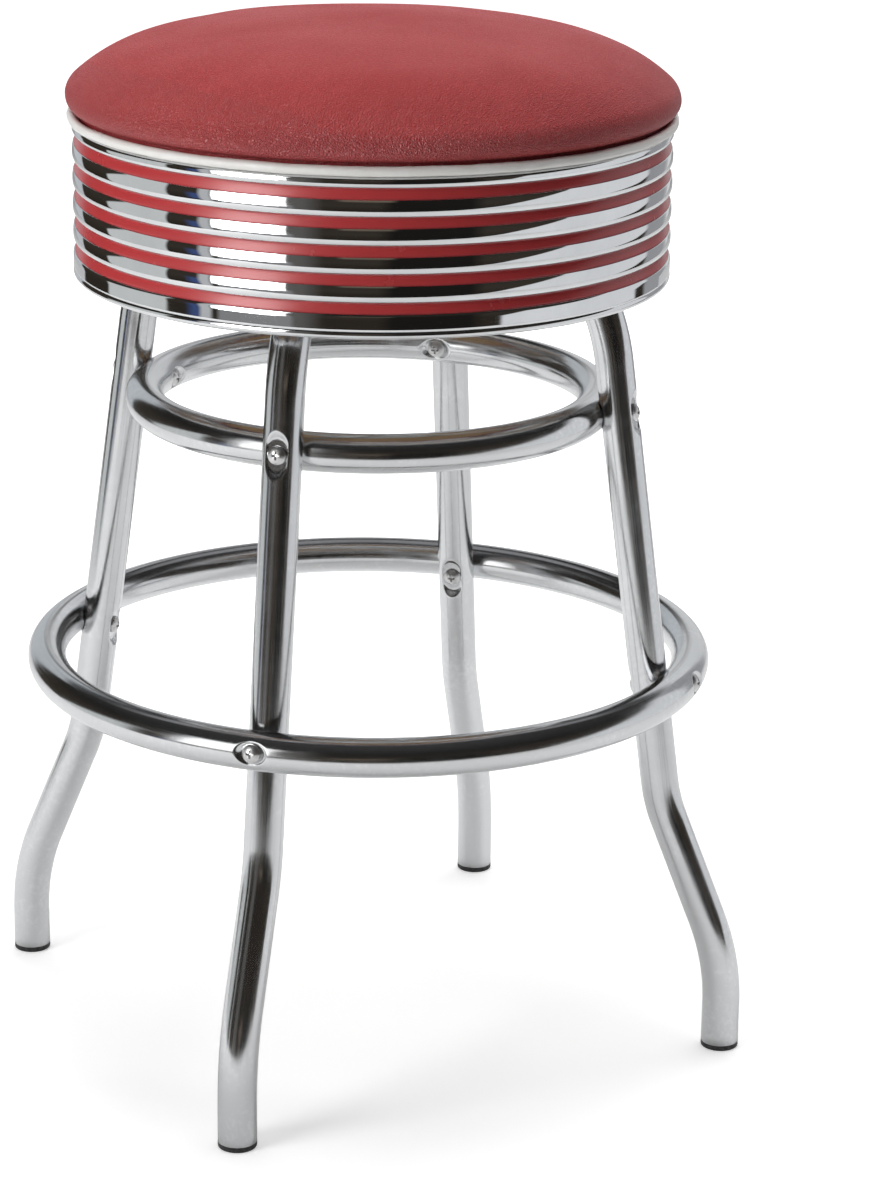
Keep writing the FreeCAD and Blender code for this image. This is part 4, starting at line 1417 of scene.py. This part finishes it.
@dataclass
class Cushion:
    """The crowned pad: foam and vinyl in one closed form, with its turned-in skirt."""

    radius: float = 177.0 * MM
    top: float = 600.0 * MM
    shoulder: float = 14.0 * MM
    shoulder_turn: float = 48.5
    edge: float = 102.4 * MM
    edge_turn: float = 34.1
    roll: float = 9.0 * MM
    segments: int = 160
    slack: float = 1.6 * MM
    swell_limit: float = 2.2 * MM
    frames: int = 20
    smoothing: int = 8
    pressure: float = 4.0
    board_gap: float = 0.4 * MM
    skirt_end: float = 0.4 * MM
    skirt_fold: float = 1.6 * MM
    skirt_rise: float = 0.1 * MM
    held_height: float = 5.5 * MM
    held_above: float = 1 * MM
    held_beside: float = 2 * MM
    lump: float = 0.55 * MM
    lump_reach: float = 20 * MM
    pull: float = 0.35 * MM
    ripple: float = 0.22 * MM
    pull_drop: float = 3 * MM
    pull_spread: float = 5 * MM

    def crown(self, inset: float) -> tuple[list[Point2], float]:
        """Outline from near the axis out to the foot of the roll.

        Args:
            inset: How far the outline lies inside the finished surface.

        Returns:
            Points of the outline and the height of its widest line.
        """
        slope = self.shoulder_turn + self.edge_turn

        def polar(centre: Point2, radius: float, degrees: float) -> Point2:
            """Return a point of a circle in the section."""
            a = math.radians(degrees)
            return centre[0] + radius * math.cos(a), centre[1] + radius * math.sin(a)

        def arcs(widest: float) -> list[tuple[Point2, float, float, float]]:
            """The three arcs above the widest line, from the shoulder up.

            Args:
                widest: Height of that line.

            Returns:
                Centre, radius, first and last angle of each.
            """
            first = (self.radius - self.shoulder, widest)
            joint = polar(first, self.shoulder, self.shoulder_turn)
            second = polar(joint, -self.edge, self.shoulder_turn)
            crown_joint = polar(second, self.edge, slope)
            crown = crown_joint[0] / math.cos(math.radians(slope))
            third = polar(crown_joint, -crown, slope)
            return [(first, self.shoulder, 0.0, self.shoulder_turn),
                    (second, self.edge, self.shoulder_turn, slope), (third, crown, slope, 89.6)]

        level = arcs(0.0)[2]
        widest = self.top - (level[0][1] + level[1])
        points: list[Point2] = []
        for (centre, radius, low, high), count in zip(reversed(arcs(widest)), (26, 14, 9)):
            points += arc_points(centre, radius - inset, high, low, count)[1 if points else 0:]
        roll_centre = (self.radius - self.roll, widest)
        points += arc_points(roll_centre, self.roll - inset, 0.0, -90.0, 9)[1:]
        return points, widest

    def section(self, inset: float) -> list[Point2]:
        """The whole closed section: crown, roll, skirt and the bed on the board.

        Args:
            inset: How far the crown lies inside the finished surface.

        Returns:
            The points in order.
        """
        outline, _ = self.crown(inset)
        low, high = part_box("seat_board")
        board = high.x + self.board_gap
        skirt = self.radius - self.roll
        foot, bed = low.z + self.skirt_rise, high.z + self.board_gap
        outline += [(skirt, low.z + self.skirt_end), (skirt - self.skirt_fold, foot), (board, foot),
                    (board, (low.z + high.z) / 2)]
        return outline + [(board * share, bed) for share in (1.0, 0.75, 0.5, 0.25)]

    def mesh(self, inset: float) -> bpy.types.Object:
        """A closed grid mesh of the pad.

        Args:
            inset: How far the crown lies inside the finished surface.

        Returns:
            The pad.
        """
        section = self.section(inset)
        piece = revolve("seat_cushion", section, self.segments, closed=False)
        data = bmesh.new()
        data.from_mesh(piece.data)
        corners = list(data.verts)
        for row, height in ((0, section[0][1]), (len(section) - 1, section[-1][1])):
            centre = data.verts.new((0, 0, height))
            ring = corners[row * self.segments:(row + 1) * self.segments]
            for a, b in zip(ring, ring[1:] + ring[:1]):
                data.faces.new((a, b, centre) if row == 0 else (b, a, centre))
        bmesh.ops.recalc_face_normals(data, faces=data.faces)
        data.to_mesh(piece.data)
        data.free()
        piece.data.polygons.foreach_set("use_smooth", [True] * len(piece.data.polygons))
        return piece

    def inflate(self, piece: bpy.types.Object) -> None:
        """Blow the pad up as cloth, with its skirt and its bed held.

        Args:
            piece: The pad.
        """
        rest = np.array([v.co[:] for v in piece.data.vertices])
        reach = np.hypot(rest[:, 0], rest[:, 1])
        held = piece.vertex_groups.new(name="held")
        low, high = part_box("seat_board")
        still = (rest[:, 2] < high.z + self.held_above) & (reach < high.x + self.held_beside)
        still |= rest[:, 2] < low.z + self.held_height
        held.add([int(i) for i in np.flatnonzero(still)], 1.0, "REPLACE")
        modifier = piece.modifiers.new("stuffing", "CLOTH")
        cloth = modifier.settings
        cloth.quality = 6
        cloth.mass = 0.25
        cloth.tension_stiffness = 25
        cloth.compression_stiffness = 25
        cloth.bending_stiffness = 6.0
        cloth.use_pressure = True
        cloth.uniform_pressure_force = self.pressure
        cloth.vertex_group_mass = "held"
        cloth.effector_weights.gravity = 0.0
        modifier.point_cache.frame_start = 1
        modifier.point_cache.frame_end = self.frames
        scene = bpy.context.scene
        for number in range(1, self.frames + 1):
            scene.frame_set(number)
        shown = piece.evaluated_get(bpy.context.evaluated_depsgraph_get())
        blown = np.array([v.co[:] for v in shown.data.vertices])
        piece.modifiers.remove(modifier)
        scene.frame_set(1)
        move = blown - rest
        length = np.linalg.norm(move, axis=1, keepdims=True)
        move *= np.minimum(1.0, self.swell_limit / np.maximum(length, 1e-9))
        pairs = np.array([e.vertices[:] for e in piece.data.edges])
        ends = np.concatenate((pairs, pairs[:, ::-1]))
        count = np.bincount(ends[:, 0], minlength=len(rest))[:, None]
        for _ in range(self.smoothing):
            total = np.stack([np.bincount(ends[:, 0], move[ends[:, 1], axis], len(rest))
                              for axis in range(3)], axis=1)
            move[~still] = (total / count)[~still]
        swollen = rest + move
        piece.data.vertices.foreach_set("co", swollen.ravel())
        LOG.info("cushion swelled by up to %.2f mm", 1000 * float(length.max()))

    def settle(self, piece: bpy.types.Object) -> None:
        """Soft unevenness of stuffed vinyl, and small pulls above the piping.

        Args:
            piece: The pad.
        """
        data = bmesh.new()
        data.from_mesh(piece.data)
        _, widest = self.crown(0.0)
        for vertex in data.verts:
            x, y, z = vertex.co
            reach = math.hypot(x, y)
            if reach < 1e-6 or z < widest - 6 * MM:
                continue
            angle = math.atan2(y, x)
            out = Vector((x / reach, y / reach, 0))
            lump = noise.noise(Vector((x * 14, y * 14, 3.1))) * self.lump
            if z > widest:
                vertex.co.z += lump * min(1.0, (z - widest) / self.lump_reach)
            pull = noise_round(angle, 5.5, 7.7) * self.pull
            ripple = noise_round(angle, 19, 1.3) * self.ripple
            near = math.exp(-((z - widest + self.pull_drop) / self.pull_spread) ** 2)
            vertex.co += out * near * (pull + ripple)
        data.to_mesh(piece.data)
        data.free()

    def build(self) -> None:
        """Make the cushion, swell it and dress it, then add the cover's tail."""
        piece = self.mesh(self.slack)
        self.inflate(piece)
        self.settle(piece)
        smooth = piece.modifiers.new("smooth", "SUBSURF")
        smooth.levels = smooth.render_levels = 1
        finish_piece(piece, RedVinyl(), Body.SEAT, Slot.VINYL, "seat_cover", "seat_foam")
        CoverTail().build()


@dataclass
class CoverTail:
    """The cover's tail, drawn in and stapled under the board."""

    outer: float = 167.6 * MM
    inner: float = 143.0 * MM
    columns: int = 288
    rows: int = 12
    folds: int = 48
    free_from: float = 0.68
    fold_drop: float = 0.35 * MM
    hang: float = 0.9 * MM
    ragged: float = 0.9 * MM
    thickness: float = 0.9 * MM
    lowest: float = 1.6 * MM

    def lower_point(self, share: float, angle: float, board_foot: float) -> tuple[float, float, float]:
        """A point of the tail's lower face.

        Args:
            share: How far in it lies, from 0 to 1.
            angle: Where it lies round the axis, in radians.
            board_foot: Height of the board's underside.

        Returns:
            Its position.
        """
        fold = 0.5 + 0.5 * math.sin(angle * self.folds + 2.2 * noise_round(angle, 4, 0))
        free = max(0.0, (share - self.free_from) / (1 - self.free_from))
        drop = (self.fold_drop + self.hang * free) * fold * free
        edge = self.ragged * noise_round(angle, 20, 5) * free
        radius = self.outer + (self.inner - self.outer) * share + edge
        return radius * math.cos(angle), radius * math.sin(angle), board_foot - 0.15 * MM - drop

    def build(self) -> None:
        """Make the tail and dress it."""
        board_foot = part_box("seat_board")[0].z
        angles = [2 * math.pi * column / self.columns for column in range(self.columns)]
        lower = np.array([self.lower_point(row / (self.rows - 1), angle, board_foot)
                          for row in range(self.rows) for angle in angles])
        upper = lower.copy()
        upper[:, 2] = board_foot - 0.05 * MM
        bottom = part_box("seat_cover")[0].z - self.lowest
        lower[:, 2] = np.maximum(lower[:, 2] - self.thickness, bottom)
        shape = (self.rows, self.columns, 3)
        both = np.vstack([upper.reshape(shape), lower.reshape(shape)[::-1]])
        faces = grid_faces(2 * self.rows, self.columns, True, True)
        piece = new_piece("cover_tail", both.reshape(-1, 3), faces)
        finish_piece(piece, RedVinyl(), Body.SEAT, Slot.VINYL)

@dataclass
class Piping:
    """The off-white welt between cushion and band."""

    bead: float = 2.75 * MM
    columns: int = 720
    around: int = 28
    draw_in: float = 0.15 * MM
    sway: float = 0.30 * MM
    lift: float = 0.28 * MM
    swell: float = 0.035
    tape_thickness: float = 0.9 * MM
    tape_foot: float = 6.3 * MM
    tape_grip: float = 0.5 * MM

    def build(self) -> None:
        """Make the bead with its hidden tape and dress it."""
        low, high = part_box("seat_piping")
        centre_radius, centre_height = high.x - self.bead, high.z - self.bead
        corners = []
        for column in range(self.columns):
            angle = 2 * math.pi * column / self.columns
            way = Vector((math.cos(angle), math.sin(angle), 0))
            sway = noise_round(angle, 6.0, 2.0) * self.sway
            lift = noise_round(angle, 7.0, 9.0) * self.lift
            bead = self.bead * (1.0 + noise_round(angle, 30.0, 0.0) * self.swell)
            for step in range(self.around):
                turn = 2 * math.pi * step / self.around
                reach = centre_radius - self.draw_in + sway + bead * math.cos(turn)
                corners.append((reach * way.x, reach * way.y,
                                centre_height + lift + bead * math.sin(turn)))
        faces = grid_faces(self.columns, self.around, True, True)
        piece = new_piece("piping_bead", np.array(corners), faces)
        finish_piece(piece, PipingVinyl(), Body.SEAT, Slot.PIPING, "seat_piping")
        self.build_tape(low.z, centre_radius, centre_height)

    def build_tape(self, bottom: float, centre_radius: float, centre_height: float) -> None:
        """The flat tape that the bead is sewn to, gripped above the flange.

        Args:
            bottom: Height of the tape's underside.
            centre_radius: Radius of the bead's middle.
            centre_height: Height of the bead's middle.
        """
        outer = centre_radius - self.bead + self.tape_grip
        inner, foot = outer - self.tape_thickness, outer - self.tape_foot
        low, top = bottom + 0.1 * MM, bottom + 0.95 * MM
        section = [(outer, centre_height), (inner, centre_height), (inner, top), (foot, top),
                   (foot, low), (outer, low)]
        piece = revolve("piping_tape", section, 180)
        finish_piece(piece, PipingVinyl(), Body.SEAT, Slot.PIPING)


class Hardware:
    """Pieces whose frame shape is kept and only dressed."""

    def build(self) -> None:
        """Give each kept node its finish."""
        for finish, names in FINISHED_NODES.items():
            for name in names:
                node = frame["nodes"][name]
                node.data.materials.clear()
                node.data.materials.append(finish.material())
                LOG.info("%s: dressed in %s", name, finish.title)


# The studio


@dataclass(frozen=True)
class Panel:
    """A patch of the surroundings, by bearing from the camera's side and elevation, in degrees.

    Its sides lean by so many degrees of bearing for each degree of elevation, and its
    top climbs by so many degrees of elevation for each degree of bearing.
    """

    left: float
    right: float
    low: float
    high: float
    colour: Colour
    lean: float = 0.0
    climb: float = 0.0
    blur: float = 0.8


STUDIO_PANELS = (
    Panel(-181, -170, -90, 20, (0.68, 0.69, 0.70), blur=3.0),
    Panel(-170, -144, -90, 30, (0.54, 0.57, 0.60)),
    Panel(-120, -84, -90, -8, (0.61, 0.63, 0.63), lean=0.1, climb=0.62),
    Panel(-73, -66, -16, -4, (0.05, 0.08, 0.20), blur=2.0),
    Panel(-68, -63, -90, 40, (0.50, 0.51, 0.52), blur=1.0),
    Panel(-42, -22, -90, 35, (0.11, 0.105, 0.10), blur=4.0),
    Panel(-60, -30, -21, -9, (0.24, 0.24, 0.245), blur=1.0),
    Panel(5, 40, -90, 12, (0.012, 0.011, 0.010), blur=3.0),
    Panel(-12, 8, 6, 11, (0.16, 0.13, 0.10), blur=1.5),
    Panel(52, 122, -90, 32, (0.74, 0.75, 0.77), lean=1.6),
    Panel(128, 150, -90, 30, (0.33, 0.335, 0.35), blur=1.5),
    Panel(150, 181, -90, 20, (0.68, 0.69, 0.70), blur=3.0),
    Panel(140, 181, 45, 75, (0.28, 0.28, 0.29), blur=4.0),
    Panel(-181, -140, 45, 75, (0.28, 0.28, 0.29), blur=4.0),
)


@dataclass(frozen=True)
class Lamp:
    """A rectangular light that faces the stool, with its bearing from the camera's side.

    The chrome doesn't mirror it, or only the chrome does, in the pieces whose names
    start with the given words.
    """

    name: str
    bearing: float
    distance: float
    height: float
    width: float
    tall: float
    watts: float
    aim: float
    mirrored_in: tuple[str, ...] = ()


SEAT_AND_BOLTS = ("side_band", "stripe", "seat_cushion", "piping_bead", "ring_bolts")
STUDIO_LAMPS = (
    Lamp("front_left", bearing=-55, distance=2.3, height=1.25, width=1.0, tall=1.5, watts=32.0,
         aim=0.35),
    Lamp("overhead", bearing=165, distance=0.7, height=2.6, width=2.6, tall=2.6, watts=70.0, aim=0.2),
    Lamp("box_core", bearing=-45, distance=1.62, height=0.767, width=0.66, tall=1.17, watts=18.0,
         aim=0.767, mirrored_in=SEAT_AND_BOLTS),
    Lamp("box_edge", bearing=-45, distance=1.62, height=0.767, width=0.84, tall=1.17, watts=5.0,
         aim=0.767, mirrored_in=(*SEAT_AND_BOLTS, "lower_ring", "upper_ring")),
)


@dataclass
class Studio:
    """Camera, floor, lights and the surroundings that the chrome mirrors."""

    bearing: float = math.radians(18.7)
    distance: float = 2.0981
    eye_height: float = 0.9222
    pitch: float = math.radians(17.648)
    yaw: float = math.radians(1.219)
    roll: float = math.radians(0.837)
    lens: float = 3701.96 / 1200 * 36
    sheet_front: float = 1.2
    sheet_back: float = 3.6
    sheet_width: float = 2.7
    sheet_lift: float = 0.4 * MM
    floor_width: float = 60.0

    def right(self) -> Vector:
        """Level direction to the camera's right."""
        return Vector((math.cos(self.bearing), math.sin(self.bearing), 0))

    def away(self) -> Vector:
        """Level direction from the camera to the stool's axis."""
        return Vector((-math.sin(self.bearing), math.cos(self.bearing), 0))

    def build(self) -> None:
        """Set up everything round the stool."""
        self.place_camera()
        self.lay_floor()
        self.hang_lights()
        self.paint_surroundings()
        view = bpy.context.scene.view_settings
        view.view_transform = "Standard"
        view.look = "None"

    def place_camera(self) -> None:
        """The photograph's viewpoint, solved from the legs and rings."""
        data = bpy.data.cameras.new("camera")
        data.sensor_width = 36.0
        data.lens = self.lens
        data.clip_start, data.clip_end = 0.05, 100.0
        camera = bpy.data.objects.new("camera", data)
        bpy.context.scene.collection.objects.link(camera)
        right, away, up = self.right(), self.away(), Vector((0, 0, 1))
        cy, sy = math.cos(self.yaw), math.sin(self.yaw)
        cp, sp = math.cos(self.pitch), math.sin(self.pitch)
        forward = right * (sy * cp) + away * (cy * cp) - up * sp
        across = right * cy - away * sy
        over = across.cross(forward)
        cr, sr = math.cos(self.roll), math.sin(self.roll)
        x_axis, y_axis = across * cr + over * sr, over * cr - across * sr
        spot = -away * self.distance + up * self.eye_height
        pose = Matrix((x_axis, y_axis, -forward)).transposed().to_4x4()
        camera.matrix_world = Matrix.Translation(spot) @ pose
        bpy.context.scene.camera = camera

    def lay_floor(self) -> None:
        """A wide pale floor with a painted glow, and the paper sheet that the chrome mirrors."""
        floor = self.panel("studio_floor", Vector((0, 0, 0)), self.floor_width, self.floor_width)
        floor.visible_glossy = False
        floor.data.materials.append(self.paper("pale_floor", tone=0.88, glow=1.0))
        middle = (self.sheet_back - self.sheet_front) / 2
        sheet = self.panel("paper_sheet", self.away() * middle, self.sheet_width,
                           self.sheet_back + self.sheet_front)
        sheet.location.z = self.sheet_lift
        sheet.data.materials.append(self.paper("pale_sheet", tone=0.90, glow=0.0))
        sheet.visible_camera = False
        sheet.visible_diffuse = False
        sheet.visible_shadow = False
        sheet.visible_transmission = False

    def panel(self, name: str, centre: Vector, width: float, depth: float) -> bpy.types.Object:
        """A flat sheet on the floor, turned to face the camera.

        Args:
            name: The piece's name.
            centre: Its middle.
            width: How wide it is from the camera's left to its right.
            depth: How far it runs away from the camera.

        Returns:
            The sheet.
        """
        right, away = self.right() * (width / 2), self.away() * (depth / 2)
        steps = 8
        corners = [centre + right * (2 * i / steps - 1) + away * (2 * j / steps - 1)
                   for j in range(steps + 1) for i in range(steps + 1)]
        return new_piece(name, np.array([c[:] for c in corners]),
                         grid_faces(steps + 1, steps + 1, False, False))

    @staticmethod
    def paper(title: str, tone: float, glow: float) -> bpy.types.Material:
        """Plain pale paper with faint cloudiness, seen from above only, with a painted glow that only the
        camera sees.

        Args:
            title: The material's name.
            tone: How pale the paper is.
            glow: How strongly the paper glows for the camera far from the stool. This painted glow stands
                in for light and is weaker near the stool.

        Returns:
            The material.
        """
        made = bpy.data.materials.new(title)
        made.use_nodes = True
        sheet = NodeSheet(made.node_tree)
        shader = sheet.add("ShaderNodeBsdfPrincipled")
        output = sheet.add("ShaderNodeOutputMaterial")
        side = sheet.add("ShaderNodeNewGeometry")
        clear = sheet.add("ShaderNodeBsdfTransparent")
        chooser = sheet.add("ShaderNodeMixShader")
        sockets = (side.outputs["Backfacing"], shader.outputs[0], clear.outputs[0])
        for source, target in zip(sockets, chooser.inputs):
            sheet.link(source, target)
        sheet.link(chooser.outputs[0], output.inputs[0])
        smears = Finish.effect(sheet, "smears", Scale=3.0, Strength=0.5)
        pale, dusty = (tone, tone, tone), (tone * 0.985, tone * 0.985, tone * 0.985)
        sheet.link(sheet.blend(smears.outputs["Mask"], pale, dusty), shader.inputs["Base Color"])
        shader.inputs["Roughness"].default_value = 0.9
        shader.inputs["Specular IOR Level"].default_value = 0.1
        # Painted glow: emission seen only by camera rays, rising from 0.42 of the glow near the stool to
        # the full glow beyond 1.3 m
        if glow > 0:
            place = sheet.add("ShaderNodeTexCoord")
            reach = sheet.add("ShaderNodeVectorMath", operation="LENGTH")
            sheet.link(place.outputs["Object"], reach.inputs[0])
            path = sheet.add("ShaderNodeLightPath")
            strength = sheet.span(reach.outputs["Value"], 0.2, 1.3, 0.42 * glow, glow)
            shader.inputs["Emission Color"].default_value = (1, 1, 1, 1)
            sheet.link(sheet.math("MULTIPLY", strength, path.outputs["Is Camera Ray"]),
                       shader.inputs["Emission Strength"])
        return made

    def hang_lights(self) -> None:
        """Hang the lights, and link the mirrored ones to the pieces that show them."""
        for lamp in STUDIO_LAMPS:
            light = self.area_light(lamp)
            light.visible_glossy = bool(lamp.mirrored_in)
            light.visible_diffuse = not lamp.mirrored_in
            if not lamp.mirrored_in:
                continue
            pieces = bpy.data.collections.new("shows_" + lamp.name)
            for piece in bpy.context.scene.objects:
                if piece.name.startswith(lamp.mirrored_in):
                    pieces.objects.link(piece)
            light.light_linking.receiver_collection = pieces

    def area_light(self, lamp: Lamp) -> bpy.types.Object:
        """Add a rectangular light that faces the stool.

        Args:
            lamp: Where it stands, its size and its power.

        Returns:
            The light's object.
        """
        a = math.radians(lamp.bearing)
        spot = self.right() * (math.sin(a) * lamp.distance) - self.away() * (math.cos(a) * lamp.distance)
        spot.z = lamp.height
        data = bpy.data.lights.new(lamp.name, "AREA")
        data.shape = "RECTANGLE"
        data.size, data.size_y = lamp.width, lamp.tall
        data.energy = lamp.watts
        light = bpy.data.objects.new(lamp.name, data)
        light.location = spot
        light.rotation_mode = "QUATERNION"
        light.rotation_quaternion = (Vector((0, 0, lamp.aim)) - spot).to_track_quat("-Z", "Y")
        bpy.context.scene.collection.objects.link(light)
        return light

    def paint_surroundings(self) -> None:
        """Studio panels by direction, for the chrome to mirror."""
        world = bpy.data.worlds.new("studio")
        world.use_nodes = True
        bpy.context.scene.world = world
        sheet = NodeSheet(world.node_tree)
        place = sheet.add("ShaderNodeTexCoord")
        parts = sheet.add("ShaderNodeSeparateXYZ")
        sheet.link(place.outputs["Generated"], parts.inputs[0])
        right, away = self.right(), self.away()
        sideways = sheet.math("ADD", sheet.math("MULTIPLY", parts.outputs[0], right.x),
                              sheet.math("MULTIPLY", parts.outputs[1], right.y))
        towards = sheet.math("ADD", sheet.math("MULTIPLY", parts.outputs[0], -away.x),
                             sheet.math("MULTIPLY", parts.outputs[1], -away.y))
        bearing = sheet.math("DEGREES", sheet.math("ARCTAN2", sideways, towards))
        elevation = sheet.math("DEGREES", sheet.math("ARCSINE", parts.outputs[2]))
        height = sheet.span(elevation, -90, 90, 0, 1)
        colour = sheet.ramp(height, [(0.0, (0.03, 0.026, 0.022)), (0.42, (0.026, 0.021, 0.016)),
                                     (0.47, (0.040, 0.033, 0.026)), (0.57, (0.032, 0.027, 0.022)),
                                     (0.68, (0.017, 0.016, 0.015)), (1.0, (0.055, 0.055, 0.057))])
        for panel in STUDIO_PANELS:
            edges = {title: getattr(panel, title.lower())
                     for title in ("Left", "Right", "Low", "High", "Lean", "Climb", "Blur")}
            mask = Finish.effect(sheet, "panel_mask", **edges)
            sheet.link(bearing, mask.inputs["Bearing"])
            sheet.link(elevation, mask.inputs["Elevation"])
            colour = sheet.blend(mask.outputs["Mask"], colour, panel.colour)
        back = sheet.add("ShaderNodeBackground")
        sheet.link(colour, back.inputs["Color"])
        pale = sheet.add("ShaderNodeBackground")
        pale.inputs["Color"].default_value = (1.0, 1.0, 1.0, 1.0)
        path = sheet.add("ShaderNodeLightPath")
        chooser = sheet.add("ShaderNodeMixShader")
        sockets = (path.outputs["Is Camera Ray"], back.outputs[0], pale.outputs[0])
        for source, target in zip(sockets, chooser.inputs):
            sheet.link(source, target)
        output = sheet.add("ShaderNodeOutputWorld")
        sheet.link(chooser.outputs[0], output.inputs[0])


def main() -> None:
    """Build the stool piece by piece, then the studio round it."""
    logging.basicConfig(level=logging.INFO, format="%(name)s: %(message)s")
    legs = Legs()
    legs.build()
    Ring(legs.lower).build()
    Ring(legs.upper).build()
    Band().build()
    Cushion().build()
    Piping().build()
    Hardware().build()
    Studio().build()


if __name__ == "__main__":
    main()
